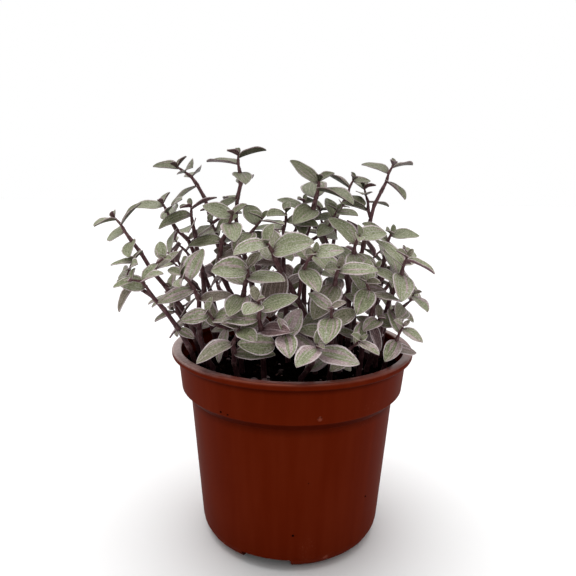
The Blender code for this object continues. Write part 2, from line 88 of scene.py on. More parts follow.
DRAIN_COUNT = 3
DRAIN_ANGLE = math.radians(-105)
DRAIN_WIDTH = 24 * MM
DRAIN_HEIGHT = 6.5 * MM
DRAIN_INNER_RADIUS = 36 * MM
DRAIN_OUTER_RADIUS = 51 * MM
DRAIN_ROUND = 0.9 * MM

# A moulding pip on the band, and peat dried onto the wall: azimuth in degrees, then height, width
# and how far it stands out in millimetres
PIPS = ((-78, 80.1, 2.0, 0.5),)
SPLASHES = (
    (-88.5, 20.1, 1.1, 0.4), (-119.9, 78.6, 0.8, 0.3), (-123.8, 79.0, 1.0, 0.3), (-81, 47, 0.5, 0.2),
    (-42, 31, 0.9, 0.3), (22, 58, 1.2, 0.4), (61, 24, 0.8, 0.3), (118, 66, 1.0, 0.4), (176, 38, 0.9, 0.3),
)
# Where the wall is rubbed pale: azimuth in degrees, then radius, height and size in millimetres
SCUFFS = ((-78, 55.8, 80.1, 1.8), (-68.5, 45.4, 6.0, 2.2), (-135, 44.9, 4.6, 1.6), (75, 50.8, 70, 2.0))


def linear(code):
    """A linear colour from an sRGB hex code."""
    shares = [int(code[i:i + 2], 16) / 255 for i in (1, 3, 5)]
    return (*[s / 12.92 if s <= 0.04045 else ((s + 0.055) / 1.055) ** 2.4 for s in shares], 1)


def feed(node, *given):
    """Set or link a node's inputs, given in order, or by name in a dictionary. An input takes a
    value, an output, or a node, which stands for its first output. A list all goes into one."""
    shown = [socket for socket in node.inputs if socket.enabled]
    for number, item in enumerate(given):
        for name, values in (item if isinstance(item, dict) else {number: item}).items():
            socket = shown[name] if name == number else next(s for s in shown if s.name == name)
            for value in values if isinstance(values, list) else [values]:
                if isinstance(value, bpy.types.Node):
                    value = next(s for s in value.outputs if s.enabled)
                if isinstance(value, bpy.types.NodeSocket):
                    node.id_data.links.new(value, socket)
                else:
                    socket.default_value = value


def add(tree, kind, *given, stops=(), **settings):
    """Add a node with its settings and links. A colour ramp's stops are (place, hex colour)."""
    node = tree.nodes.new(kind)
    for name, value in settings.items():
        setattr(node, name, value)
    for _ in stops[2:]:
        node.color_ramp.elements.new(1)
    for number, (place, code) in enumerate(stops):
        node.color_ramp.elements[number].position = place
        node.color_ramp.elements[number].color = linear(code)
    feed(node, *given)
    return node


def new_material(name):
    """A material with the Principled shader that it starts with."""
    made = bpy.data.materials.new(name)
    made.use_nodes = True
    return made, made.node_tree, made.node_tree.nodes["Principled BSDF"]


def link(name, data):
    """Put new data into the scene as an object."""
    made = bpy.data.objects.new(name, data)
    bpy.context.scene.collection.objects.link(made)
    return made


def mesh_of(shape, name):
    """Turn a finished shape into a mesh."""
    mesh = bpy.data.meshes.new(name)
    shape.to_mesh(mesh)
    shape.free()
    return mesh


def keep_shape(thing):
    """Turn what an object's modifiers make into its own plain mesh."""
    now = bpy.context.evaluated_depsgraph_get()
    mesh = bpy.data.meshes.new_from_object(thing.evaluated_get(now))
    thing.modifiers.clear()
    thing.data = mesh


def rounded(corners, steps=5):
    """A profile whose corners, each (radius, height, rounding), are turned into arcs."""
    profile = [corners[0][:2]]
    for before, (x, z, rounding), after in zip(corners, corners[1:], corners[2:]):
        corner = Vector((x, z))
        back = (Vector(before[:2]) - corner).normalized()
        on = (Vector(after[:2]) - corner).normalized()
        half = back.angle(on) / 2
        centre = corner + (back + on).normalized() * rounding / math.sin(half)
        start = corner + back * rounding / math.tan(half) - centre
        end = corner + on * rounding / math.tan(half) - centre
        for step in range(steps + 1):
            place = centre + start.lerp(end, step / steps).normalized() * rounding
            profile.append((place.x, place.y))
    return profile + [corners[-1][:2]]


def turned(name, profile):
    """Turn a profile of (radius, height), inner side first and outer side downwards."""
    mesh = bpy.data.meshes.new(name)
    points = [(radius, 0, height) for radius, height in profile]
    mesh.from_pydata(points, [(i, i + 1) for i in range(len(points) - 1)], [])
    made = link(name, mesh)
    screw = made.modifiers.new("turn", "SCREW")
    screw.steps = screw.render_steps = POT_STEPS
    screw.use_merge_vertices = True
    screw.merge_threshold = MERGE
    keep_shape(made)
    return made


def cut_drains(pot):
    """Cut the drain openings through the pot's bottom corner."""
    cutters = bpy.data.collections.new("drain cutters")
    bpy.context.scene.collection.children.link(cutters)
    depth = DRAIN_OUTER_RADIUS - DRAIN_INNER_RADIUS
    reach = (DRAIN_OUTER_RADIUS + DRAIN_INNER_RADIUS) / 2
    for number in range(DRAIN_COUNT):
        angle = DRAIN_ANGLE + number * 2 * math.pi / DRAIN_COUNT
        shape = bmesh.new()
        bmesh.ops.create_cube(shape, size=1)
        bmesh.ops.scale(shape, vec=(depth, DRAIN_WIDTH, 2 * DRAIN_HEIGHT), verts=shape.verts)
        corners = [edge for edge in shape.edges if abs(edge.verts[0].co.x - edge.verts[1].co.x) > MERGE]
        bmesh.ops.bevel(shape, geom=corners, offset=DRAIN_ROUND, segments=3, affect="EDGES", profile=0.5)
        cutter = bpy.data.objects.new("drain cutter", mesh_of(shape, "drain cutter"))
        cutter.location = (reach * math.cos(angle), reach * math.sin(angle), 0)
        cutter.rotation_euler = (0, 0, angle)
        cutters.objects.link(cutter)
    opening = pot.modifiers.new("drains", "BOOLEAN")
    opening.operation = "DIFFERENCE"
    opening.operand_type = "COLLECTION"
    opening.collection = cutters
    keep_shape(pot)
    for cutter in list(cutters.objects):
        bpy.data.objects.remove(cutter)
    bpy.data.collections.remove(cutters)


def wall_radius(height):
    """The radius of the pot's outer side at a height below its lip."""
    corners = (
        (0, BODY_FOOT_RADIUS), (BODY_TOP_HEIGHT, BODY_TOP_RADIUS),
        (BAND_FOOT_HEIGHT, BAND_FOOT_RADIUS), (POT_HEIGHT - LIP_DEPTH, BAND_TOP_RADIUS),
    )
    low, high = next(pair for pair in zip(corners, corners[1:]) if height <= pair[1][0])
    return low[1] + (high[1] - low[1]) * (height - low[0]) / (high[0] - low[0])


def add_lumps(pot, rows, skin):
    """Add low round lumps to the pot's wall, made of one of its materials."""
    shape = bmesh.new()
    shape.from_mesh(pot.data)
    for azimuth, height, width, depth in rows:
        turn = Quaternion((0, 0, 1), math.radians(azimuth))
        lump = bmesh.ops.create_icosphere(shape, subdivisions=2, radius=MM)["verts"]
        for vertex in lump:
            x, y, z = vertex.co
            uneven = 1 + LUMPINESS * noise.noise(vertex.co / MM + Vector((azimuth, height, 0)))
            out = wall_radius(height * MM) + x * depth
            vertex.co = turn @ Vector((out, y * width / 2 * uneven, height * MM + z * width / 2 * uneven))
        for face in {face for vertex in lump for face in vertex.link_faces}:
            face.material_index = skin
            face.smooth = True
    shape.to_mesh(pot.data)
    shape.free()


def moulded_polypropylene(name, shine):
    """Terracotta-brown polypropylene, injection moulded and satin. It is lighter where it was
    rubbed, and the lip's crown is paler with a little wear and a painted highlight, strongest at
    the lip's left end. Painted shade darkens it under the lip, under the band and at its foot: that
    ramp runs over 100 mm of height. The flow
    lines are 5 mm apart, and the mould's own grain is 0.5 mm."""
    made, tree, shader = new_material(name)
    place = add(tree, "ShaderNodeTexCoord").outputs["Object"]
    axes = add(tree, "ShaderNodeSeparateXYZ", place).outputs
    upright = add(tree, "ShaderNodeMapping", {"Vector": place, "Scale": (1, 1, 0.035)})
    flow, cloud, scuffs, patches, grain = [
        add(tree, "ShaderNodeTexNoise", {"Vector": vector, "Scale": per_mm / MM, "Detail": detail})
        for vector, per_mm, detail in (
            (upright, 0.2, 4.0), (place, 0.03, 3.0), (place, 0.9, 6.0), (place, 0.06, 2.0), (place, 2, 2.0),
        )
    ]
    tone = add(tree, "ShaderNodeMath", flow, 0.6, 0.2, operation="MULTIPLY_ADD")
    tone = add(tree, "ShaderNodeMath", cloud, 0.35, tone, operation="MULTIPLY_ADD")
    colour = add(tree, "ShaderNodeValToRGB", tone, stops=[
        (0.42, "#551503"), (0.62, "#591704"), (0.8, "#5e1c09"),
    ])
    # Painted shade: the colour is darkened under the lip, under the band and at the foot, where shade
    # falls.
    level = add(tree, "ShaderNodeMath", axes["Z"], 100 * MM, operation="DIVIDE")
    painted_shade = add(tree, "ShaderNodeValToRGB", level, stops=[
        (0.0, "#d8d8d8"), (0.03, "#ffffff"), (0.695, "#ffffff"), (0.728, "#d4d0d0"),
        (0.736, "#b2a6a0"), (0.768, "#aea29c"), (0.777, "#ffffff"), (0.908, "#ffffff"),
        (0.93, "#b8aeaa"), (0.942, "#aea4a0"), (0.948, "#ffffff"),
    ])
    colour = add(
        tree, "ShaderNodeMix", 1.0, colour, painted_shade, data_type="RGBA", blend_type="MULTIPLY",
    )
    rubbed = add(tree, "ShaderNodeMath", scuffs, patches, operation="MULTIPLY")
    rubbed = add(tree, "ShaderNodeMapRange", rubbed, 0.41, 0.51, 0.0, 0.25)
    for azimuth, radius, height, size in SCUFFS:
        angle = math.radians(azimuth)
        spot = Vector((radius * math.cos(angle), radius * math.sin(angle), height)) * MM
        gap = add(tree, "ShaderNodeVectorMath", place, spot, operation="DISTANCE")
        gap = add(tree, "ShaderNodeMath", scuffs, size * MM, gap, operation="MULTIPLY_ADD")
        near = add(tree, "ShaderNodeMapRange", gap, 1.2 * size * MM, 0.8 * size * MM, 0.0, 0.8)
        rubbed = add(tree, "ShaderNodeMath", rubbed, near, operation="MAXIMUM")
    # Painted highlight: the lip's crown is paled, most strongly at its left end, where light would catch
    # it; a little of that paleness is wear.
    crown = add(tree, "ShaderNodeMapRange", axes["Z"], POT_HEIGHT - 1.1 * MM, POT_HEIGHT - 0.2 * MM)
    left_end_highlight = add(tree, "ShaderNodeMapRange", axes["X"], -0.5 * RIM_RADIUS, -RIM_RADIUS, 0.1, 2.2)
    crown_wear_and_highlight = add(tree, "ShaderNodeMath", crown, scuffs, operation="MULTIPLY")
    crown_wear_and_highlight = add(tree, "ShaderNodeMath", crown_wear_and_highlight, left_end_highlight, operation="MULTIPLY")
    for share, paler in ((crown_wear_and_highlight, "#b09791"), (rubbed, "#824435")):
        colour = add(tree, "ShaderNodeMix", share, colour, linear(paler), data_type="RGBA")
    gloss = add(tree, "ShaderNodeMapRange", tone, 0.4, 0.8, 0.42, 0.54)
    gloss = add(tree, "ShaderNodeMath", crown, -0.14, gloss, operation="MULTIPLY_ADD")
    relief = add(tree, "ShaderNodeMath", flow, 3.0, grain, operation="MULTIPLY_ADD")
    bump = add(tree, "ShaderNodeBump", {"Strength": 0.25, "Distance": 0.05 * MM, "Height": relief})
    feed(shader, {
        "Base Color": colour, "Roughness": gloss, "Normal": bump, "IOR": 1.49,
        "Specular IOR Level": shine, "Specular Tint": linear("#ff9a70"),
    })
    return made


pot = turned("pot_moulding", rounded([
    (0, WALL, 0),
    (BODY_FOOT_RADIUS - WALL, WALL, CORNER_ROUND - WALL),
    (BODY_TOP_RADIUS - WALL, BODY_TOP_HEIGHT, 1.0 * MM),
    (BAND_FOOT_RADIUS - WALL, BAND_FOOT_HEIGHT, 1.0 * MM),
    (BAND_TOP_RADIUS - WALL, POT_HEIGHT, 0.9 * MM),
    (RIM_RADIUS, POT_HEIGHT, LIP_ROUND),
    (RIM_RADIUS, POT_HEIGHT - LIP_DEPTH, LIP_ROUND),
    (BAND_TOP_RADIUS, POT_HEIGHT - LIP_DEPTH, 0.3 * MM),
    (BAND_FOOT_RADIUS, BAND_FOOT_HEIGHT, 1.4 * MM),
    (BODY_TOP_RADIUS, BODY_TOP_HEIGHT, 1.4 * MM),
    (BODY_FOOT_RADIUS, 0, CORNER_ROUND),
    (FOOT_RING, 0, 0.3 * MM),
    (FOOT_RING - FOOT_RECESS, FOOT_RECESS, 0.3 * MM),
    (GATE_RADIUS, FOOT_RECESS, 0.2 * MM),
    (GATE_RADIUS - 0.3 * MM, 0.2 * MM, 0.1 * MM),
    (0, 0.1 * MM, 0),
]))
cut_drains(pot)
pot.data.materials.clear()
pot.data.materials.append(moulded_polypropylene("moulded polypropylene, terracotta brown", shine=0.01))
pot.data.materials.append(moulded_polypropylene("polypropylene lip polished by hands", shine=0.5))
for face in pot.data.polygons:
    face.material_index = int(face.center.z > POT_HEIGHT - POLISH_DEPTH)
pot.data.shade_smooth()
pot.data.set_sharp_from_angle(angle=SHARP)
add_lumps(pot, PIPS, 0)
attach(pot, "root")
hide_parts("pot")


# Soil. Damp peat mix, filled to a centimetre under the rim and pressed round the stems. Nearly black
# crumbs, brown fibres, chips of bark and clods that have dried paler lie loose on it, with a few
# pale grains of perlite.

GAP = 0.3 * MM
SOIL_LEVEL = 87 * MM
SOIL_SWELL = 1.0 * MM
SOIL_WAVES = (13 * MM, 17 * MM, 21 * MM)
RING_STEP = 0.8 * MM
CRUMB_HEIGHT = 0.7 * MM
MOUND_HEIGHT = 0.9 * MM
MOUND_RADIUS = 4 * MM

# Every rooted stem, in millimetres and degrees. The first shoot rises from its root (x, y) in
# the soil through points (x, y, height above the rim). A side shoot names, in place of the
# root, how far along the first one it starts. Then come the largest leaf and its turn.
STEMS = (
    # Left side, from the low arching stem up to the tall ones
    (((-45, -20), (-49, -25, 6), (-55, -28, 19), (-65, -30, 31), (-74, -29, 37), (-72, -25, 45), 13, 160),
     (0.62, (-66, -33, 36), (-70, -37, 38), 12, 200)),
    (((-41, -11), (-50, -15, 16), (-66, -18, 40), (-78, -14, 56), (-84, -12, 63), 15, 225),
     (0.60, (-63, -23, 42), (-58, -25, 46), 12, 100)),
    (((-47, 1), (-52, 2, 5), (-58, 3, 15), (-63, 3, 24), 14, 190),),
    (((-35, 9), (-41, 10, 18), (-47, 9, 36), (-53, 7, 50), (-60, 6, 58), (-65, 5, 69), 17, 190),
     (0.55, (-56, 14, 44), (-62, 17, 50), 12, 130)),
    (((-37, -1), (-43, -1, 18), (-46, 0, 40), (-49, 0, 56), (-50, 0, 68), 17, 10),),
    (((-26, 24), (-36, 22, 28), (-42, 20, 56), (-46, 20, 69), (-51, 19, 80), (-60, 17, 87), 17, 165),
     (0.66, (-38, 26, 62), (-36, 28, 70), 13, 60)),
    (((-14, 17), (-22, 15, 30), (-30, 12, 62), (-27, 10, 76), (-28, 10, 93), 18, 15),
     (0.52, (-36, 6, 50), (-41, 3, 60), 16, 200)),
    (((-21, 2), (-29, -4, 22), (-36, -8, 42), (-29, -10, 65), 19, 150),
     (0.62, (-22, -7, 54), (-15, -5, 63), 17, 330)),
    (((-38, -19), (-43, -21, 3), (-43, -24, 18), (-44, -26, 31), (-50, -28, 39), 18, 285),
     (0.45, (-50, -20, 15), (-56, -20, 21), 13, 210)),
    (((-44, -8), (-49, -9, 6), (-55, -12, 17), (-58, -15, 31), 12, 80),),
    # Front, low over the rim
    (((-24, -20), (-25, -22, 8), (-23, -26, 26), (-20, -31, 43), 20, 200),
     (0.42, (-33, -28, 15), (-38, -32, 23), 16, 190)),
    (((-25, -32), (-26, -36, 3), (-26, -40, 10), (-23, -43, 19), 18, 300),),
    (((-13, -30), (-13, -34, 6), (-14, -40, 18), (-15, -44, 31), 17, 250),
     (0.50, (-7, -42, 12), (-3, -46, 18), 16, 290)),
    (((4, -33), (7, -39, 0), (9, -46, 7), (10, -51, 14), 20, 215),),
    (((17, -31), (17, -34, 4), (17, -38, 12), (16, -42, 28), 15, 140),
     (0.40, (24, -38, 8), (29, -42, 14), 14, 320)),
    (((11, -19), (6, -24, 20), (-3, -27, 36), (-12, -29, 54), 22, 195),
     (0.55, (4, -30, 42), (9, -31, 50), 18, 0)),
    (((22, -18), (19, -21, 10), (18, -23, 28), (20, -28, 43), 21, 5),),
    (((31, -25), (33, -25, 12), (37, -25, 26), (32, -29, 37), 16, 100),),
    (((43, -22), (45, -25, 3), (47, -29, 10), (49, -33, 18), 14, 335),),
    (((36, -17), (38, -19, 0), (40, -22, 10), (39, -26, 20), 15, 250),),
    # Middle and right
    (((-2, -5), (-4, -5, 30), (-5, -3, 50), (-4, 0, 66), 17, 240),
     (0.70, (2, 3, 60), (5, 6, 71), 14, 20)),
    (((8, 10), (5, 9, 40), (7, 7, 57), (10, 6, 68), (12, 4, 81), 22, 175),
     (0.62, (17, 4, 58), (21, 2, 67), 14, 330)),
    (((20, 17), (20, 17, 34), (21, 16, 54), (23, 16, 65), (27, 14, 74), (30, 14, 82), 15, 30),
     (0.55, (15, 20, 58), (14, 23, 66), 13, 110)),
    (((31, 9), (34, 9, 36), (38, 8, 62), (42, 8, 73), (48, 5, 89), 15, 20),
     (0.72, (37, 14, 72), (36, 18, 78), 14, 100)),
    (((28, -6), (27, -10, 22), (26, -12, 40), (30, -16, 56), 20, 20),
     (0.48, (34, -14, 34), (38, -18, 42), 15, 330)),
    (((38, 2), (42, 3, 20), (45, 4, 40), (48, 2, 56), 18, 10),
     (0.60, (52, 8, 40), (56, 10, 46), 14, 40)),
    (((41, -10), (43, -13, 14), (47, -15, 29), (50, -17, 38), (52, -19, 47), 18, 350),
     (0.48, (54, -16, 24), (56, -19, 30), 14, 300)),
    (((46, 7), (48, 8, 6), (50, 9, 16), (51, 11, 26), 15, 60),),
    # Back, out of the photograph's sight
    (((-38, 23), (-50, 29, 18), (-60, 34, 29), (-67, 38, 39), 17, 160),
     (0.55, (-58, 24, 30), (-65, 24, 37), 15, 190)),
    (((-18, 35), (-24, 40, 24), (-31, 47, 38), (-37, 53, 50), 18, 120),
     (0.58, (-20, 48, 34), (-17, 54, 42), 15, 80)),
    (((-30, 38), (-35, 44, 9), (-44, 53, 18), (-49, 59, 28), 18, 130),),
    (((-4, 29), (-6, 33, 28), (-8, 40, 42), (-9, 46, 52), 18, 100),
     (0.60, (-15, 34, 39), (-21, 34, 47), 14, 170)),
    (((-10, 44), (-12, 51, 6), (-14, 59, 16), (-15, 66, 26), 18, 95),),
    (((9, 35), (12, 41, 24), (16, 49, 37), (19, 56, 48), 19, 80),
     (0.60, (8, 52, 33), (4, 58, 40), 15, 110)),
    (((22, 40), (27, 48, 4), (33, 57, 14), (38, 63, 24), 18, 60),),
    (((27, 27), (32, 32, 28), (38, 37, 41), (43, 42, 51), 18, 50),
     (0.58, (42, 30, 37), (48, 30, 44), 15, 10)),
    (((38, 20), (47, 24, 18), (56, 28, 29), (61, 31, 37), 17, 50),
     (0.50, (50, 34, 24), (53, 40, 32), 15, 70)),
    (((0, 17), (-4, 18, 26), (-8, 20, 40), (-12, 22, 50), 17, 90),),
)


def new_tree(name, sockets):
    """A Geometry Nodes tree with named inputs, given as {name: type}, and its input node."""
    tree = bpy.data.node_groups.new(name, "GeometryNodeTree")
    tree.interface.new_socket("Geometry", in_out="OUTPUT", socket_type="NodeSocketGeometry")
    tree.interface.new_socket("Geometry", in_out="INPUT", socket_type="NodeSocketGeometry")
    for socket, kind in sockets.items():
        tree.interface.new_socket(socket, in_out="INPUT", socket_type="NodeSocket" + kind)
    return tree, add(tree, "NodeGroupInput").outputs


def run_tree(thing, tree, values):
    """Run a tree on an object with its named inputs set, and keep the result as a plain mesh."""
    modifier = thing.modifiers.new(tree.name, "NODES")
    modifier.node_group = tree
    for item in tree.interface.items_tree:
        if item.in_out == "INPUT" and item.name in values:
            modifier[item.identifier] = values[item.name]
    keep_shape(thing)


def soil_height(x, y):
    """The height of the soil's uneven top at a place."""
    across, back, slant = SOIL_WAVES
    rise = math.sin(x / across + 0.7) * math.cos(y / back - 0.4) + 0.6 * math.sin((x + 1.7 * y) / slant)
    return SOIL_LEVEL + SOIL_SWELL * rise


def crumbled(x, y):
    """How far the soil's top stands out at a place: in crumbs 3.2 mm across, broader swells of
    6.5 mm, and a mound round each stem."""
    place = Vector((x, y, 0)) / MM
    lumps = noise.fractal(place / 3.2, 0.9, 2.1, 4) + 0.6 * abs(noise.noise(place / 6.5))
    nearest = min((Vector((x, y)) - Vector(stem[0][0]) * MM).length for stem in STEMS)
    return CRUMB_HEIGHT * lumps + MOUND_HEIGHT * math.exp(-(nearest / MOUND_RADIUS) ** 2)


def scatter_tree():
    """Loose grains on the upper faces of a mesh: each a lump of its own size, turn and shape."""
    tree, given = new_tree("loose grains", {
        "Grains per square metre": "Float", "Smallest": "Float", "Largest": "Float", "Form": "Vector",
        "Ruggedness": "Float", "Seed": "Int", "Material": "Material",
    })
    normal = add(tree, "GeometryNodeInputNormal")
    upright = add(tree, "ShaderNodeSeparateXYZ", normal).outputs["Z"]
    spots = add(tree, "GeometryNodeDistributePointsOnFaces", {
        "Mesh": given["Geometry"], "Density": given["Grains per square metre"], "Seed": given["Seed"],
        "Selection": add(tree, "FunctionNodeCompare", upright, 0.4, operation="GREATER_THAN"),
    })
    chance = add(tree, "FunctionNodeRandomValue", {"Seed": given["Seed"]})
    skewed = add(tree, "ShaderNodeMath", chance, 2.2, operation="POWER")
    size = add(tree, "ShaderNodeMapRange", skewed, 0.0, 1.0, given["Smallest"], given["Largest"])
    form = add(tree, "ShaderNodeVectorMath", given["Form"], {"Scale": size}, operation="SCALE")
    turn = add(tree, "FunctionNodeRandomValue", {
        "Min": (-0.5, -0.5, -math.pi), "Max": (0.5, 0.5, math.pi), "Seed": given["Seed"],
    }, data_type="FLOAT_VECTOR")
    lump = add(tree, "GeometryNodeMeshIcoSphere", {"Radius": 0.5, "Subdivisions": 2})
    grains = add(tree, "GeometryNodeInstanceOnPoints", {
        "Points": spots, "Instance": lump, "Scale": form,
        "Rotation": add(tree, "FunctionNodeEulerToRotation", turn),
    })
    shade = add(tree, "FunctionNodeRandomValue", {"Seed": 7})
    grains = add(tree, "GeometryNodeStoreNamedAttribute", {
        "Geometry": grains, "Name": "grain", "Value": shade,
    }, domain="INSTANCE", data_type="FLOAT")
    loose = add(tree, "GeometryNodeRealizeInstances", grains)
    rough = add(tree, "ShaderNodeTexNoise", {"Scale": 0.9 / MM, "Detail": 2.0})
    depth = add(tree, "ShaderNodeMath", rough, 0.5, operation="SUBTRACT")
    depth = add(tree, "ShaderNodeMath", depth, given["Ruggedness"], operation="MULTIPLY")
    push = add(tree, "ShaderNodeVectorMath", normal, {"Scale": depth}, operation="SCALE")
    loose = add(tree, "GeometryNodeSetPosition", {"Geometry": loose, "Offset": push})
    loose = add(tree, "GeometryNodeSetMaterial", {"Geometry": loose, "Material": given["Material"]})
    both = add(tree, "GeometryNodeJoinGeometry", [given["Geometry"], loose])
    add(tree, "NodeGroupOutput", both)
    return tree


def crumbling(name, stops, per_mm, detail, shares, relief, matt, shine):
    """A matt matter in the soil. Its pores and each loose bit's own shade, by their shares, pick its
    colour from dark to light. The relief is the bump's strength and its depth in millimetres."""
    made, tree, shader = new_material(name)
    place = add(tree, "ShaderNodeTexCoord").outputs["Object"]
    pores = add(tree, "ShaderNodeTexNoise", {"Vector": place, "Scale": per_mm / MM, "Detail": detail})
    own = add(tree, "ShaderNodeAttribute", attribute_name="grain").outputs["Fac"]
    shade = add(tree, "ShaderNodeMath", pores, shares[0], operation="MULTIPLY")
    shade = add(tree, "ShaderNodeMath", own, shares[1], shade, operation="MULTIPLY_ADD")
    strength, depth = relief
    feed(shader, {
        "Base Color": add(tree, "ShaderNodeValToRGB", shade, stops=stops),
        "Normal": add(tree, "ShaderNodeBump", {
            "Strength": strength, "Distance": depth * MM, "Height": pores,
        }),
        "Roughness": matt, "Specular IOR Level": shine,
    })
    return made


band_slope = (BAND_TOP_RADIUS - BAND_FOOT_RADIUS) / (POT_HEIGHT - LIP_DEPTH - BAND_FOOT_HEIGHT)
soil_edge = BAND_FOOT_RADIUS - WALL - GAP + band_slope * (SOIL_LEVEL - BAND_FOOT_HEIGHT)
rings = [RING_STEP * number for number in range(int(soil_edge / RING_STEP))]
soil = turned("potting_soil", [(radius, SOIL_LEVEL) for radius in rings] + [
    (soil_edge, SOIL_LEVEL),
    (BAND_FOOT_RADIUS - WALL - GAP, BAND_FOOT_HEIGHT),
    (BODY_TOP_RADIUS - WALL - GAP, BODY_TOP_HEIGHT),
    (BODY_FOOT_RADIUS - WALL - GAP, CORNER_ROUND),
    (BODY_FOOT_RADIUS - CORNER_ROUND, WALL + GAP),
    (0, WALL + GAP),
])
for vertex in soil.data.vertices:
    if vertex.co.z > SOIL_LEVEL - GAP:
        vertex.co.z = soil_height(vertex.co.x, vertex.co.y) + crumbled(vertex.co.x, vertex.co.y)
# Damp peat is black-brown and quite matt, in crumbs of 0.5 to 2.5 mm. What lies on it has dried.
peat = crumbling(
    "damp peat", [(0.42, "#020101"), (0.62, "#080504"), (0.78, "#150e0b"), (0.9, "#2e211b")],
    per_mm=0.8, detail=6.0, shares=(1.0, 0.35), relief=(0.8, 0.3), matt=0.95, shine=0,
)
perlite, clods, bark = [
    crumbling(name, stops, per_mm, detail=4.0, shares=(0.6, 1.0), relief=(0.6, 0.2), matt=0.92, shine=0.25)
    for name, stops, per_mm in (
        ("expanded perlite", [(0.2, "#4a3c3c"), (0.7, "#735f60"), (1.0, "#97898a")], 1.2),
        ("dried peat clods", [(0.2, "#3a2b2b"), (0.8, "#6b5555"), (1.0, "#8f7878")], 0.7),
        ("composted bark", [(0.2, "#1f1412"), (0.8, "#46322f"), (1.0, "#6e5856")], 0.5),
    )
]
soil.data.materials.clear()
soil.data.materials.append(peat)
grains = scatter_tree()
# Crumbs, fibres, chips of bark, perlite and clods. Their sizes and ruggedness are in millimetres.
for density, smallest, largest, form, ruggedness, seed, matter in (
    (100000, 0.6, 2.8, (1.0, 0.85, 0.7), 0.5, 3, peat),
    (5000, 2.0, 6.0, (1.0, 0.10, 0.08), 0.1, 11, bark),
    (1600, 2.0, 4.5, (1.0, 0.55, 0.28), 0.6, 19, bark),
    (1900, 1.0, 2.6, (1.0, 0.9, 0.8), 0.5, 23, perlite),
    (2600, 1.6, 4.8, (1.0, 0.85, 0.7), 1.1, 31, clods),
):
    run_tree(soil, grains, {
        "Grains per square metre": float(density), "Smallest": smallest * MM, "Largest": largest * MM,
        "Form": form, "Ruggedness": ruggedness * MM, "Seed": seed, "Material": matter,
    })
soil.data.shade_smooth()
pot.data.materials.append(peat)
add_lumps(pot, SPLASHES, 2)
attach(soil, "root")
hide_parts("soil")


# Leafy stems. Each rooted stem grew with its side shoots and leaves as one piece: purple-brown,
# jointed and a little zigzag, with a swollen node and a short sheath at each leaf. They grow here by
# the rule that set them in the frame, and then get their round stems, full blades and buds.

ROOT_DEPTH = 9 * MM
STEM_RADIUS = 1.35 * MM
SHOOT_RADIUS = 1.0 * MM
TIP_RADIUS = 0.65 * MM
BUD = 1.2 * MM
FIRST_JOINT = 3.2 * MM
JOINT_GROWTH = 1.32
LONGEST_JOINT = 11 * MM
LAST_JOINT_SHARE = 1.6
TAPER_LENGTH = 40 * MM
ZIGZAG = 0.45 * MM
STRAIGHT_RISE = 3 * MM

BLADE_THICKNESS = 0.65 * MM
BLADE_WIDTH = 0.6
BLADE_SEAT = 0.3
BLADE_NEAR = (0.22, 0.90)
BLADE_FAR = (0.62, 0.88)
LEAF_TURN = 137.5
LEAF_TURN_SPREAD = 16
LEAF_SIZES = (0.8, 0.97, 1.0, 0.96, 0.84, 0.74, 0.68, 0.64, 0.6)
LEAF_LIFTS = (24, 12, 6, 0, -8, -14, -18, -22, -24)
LEAF_ODDS = (1, 1, 1, 0.82, 0.36, 0.26, 0.2, 0.15, 0.15)
INNER_LEAF_HEIGHTS = (POT_HEIGHT + 6 * MM, POT_HEIGHT + 52 * MM)
INNER_LEAF_RADIUS = 45 * MM
LENGTH_SPREAD = 0.08
LIFT_SPREAD = 9
ARCH = (4, 24)
ROLL_SPREAD = 18
FOLD = (0.12, 0.42)
SLIM = (0.88, 1.08)
SLIMMER_BELOW = 0.045
LEAN_FROM = Vector((0, 45 * MM))
LEAN = 46
LEVEL_HEIGHT = POT_HEIGHT + 100 * MM
LEAN_RANGE = 42 * MM
STEM_PULL = 0.6

CLEARANCE = 0.55 * MM
FAT_SPREAD = 1.08
FAT_START = 0.17
GUARD = 1 * MM
GUARD_STEPS = 32
SHORTENED = (1, 0.86, 0.72)
LIFTED = (0, 14, -14, 28, -26)
SWUNG = (0, 22, -22, 44, -44)


def smooth_path(points, steps=8):
    """A curve through the points, as a list of places close together."""
    ends = [points[0] * 2 - points[1]] + points + [points[-1] * 2 - points[-2]]
    path = []
    for a, b, c, d in zip(ends, ends[1:], ends[2:], ends[3:]):
        for step in range(steps):
            t = step / steps
            path.append(
                b + (c - a) * (t / 2) + (a * 2 - b * 5 + c * 4 - d) * (t * t / 2)
                + (b * 3 - a - c * 3 + d) * (t * t * t / 2)
            )
    return path + [points[-1]]


def walk(path, distance):
    """The place at a distance along a path."""
    for start, end in zip(path, path[1:]):
        length = (end - start).length
        if distance <= length:
            return start.lerp(end, distance / length)
        distance -= length
    return path[-1]


def path_length(path):
    return sum((end - start).length for start, end in zip(path, path[1:]))


def grow_shoot(path, radius, turn, dice):
    """Joint the path: closer joints at the tip, each nudged to the side of its leaf."""
    length = path_length(path)
    distances = [BUD]
    joint = FIRST_JOINT
    while distances[-1] + joint * LAST_JOINT_SHARE < length:
        distances.append(distances[-1] + joint)
        joint = min(joint * JOINT_GROWTH, LONGEST_JOINT)
    joints = []
    for number, distance in enumerate(distances):
        place = walk(path, length - distance)
        up = (place - walk(path, length - distance - LONGEST_JOINT)).normalized()
        spread = dice.uniform(-LEAF_TURN_SPREAD, LEAF_TURN_SPREAD)
        azimuth = math.radians(turn + number * LEAF_TURN + spread)
        if number > 0:
            place = place + Vector((math.cos(azimuth), math.sin(azimuth), 0)) * ZIGZAG
        thick = TIP_RADIUS + (radius - TIP_RADIUS) * distance / max(length, TAPER_LENGTH)
        joints.append({"place": place, "azimuth": azimuth, "radius": thick, "up": up})
    return joints


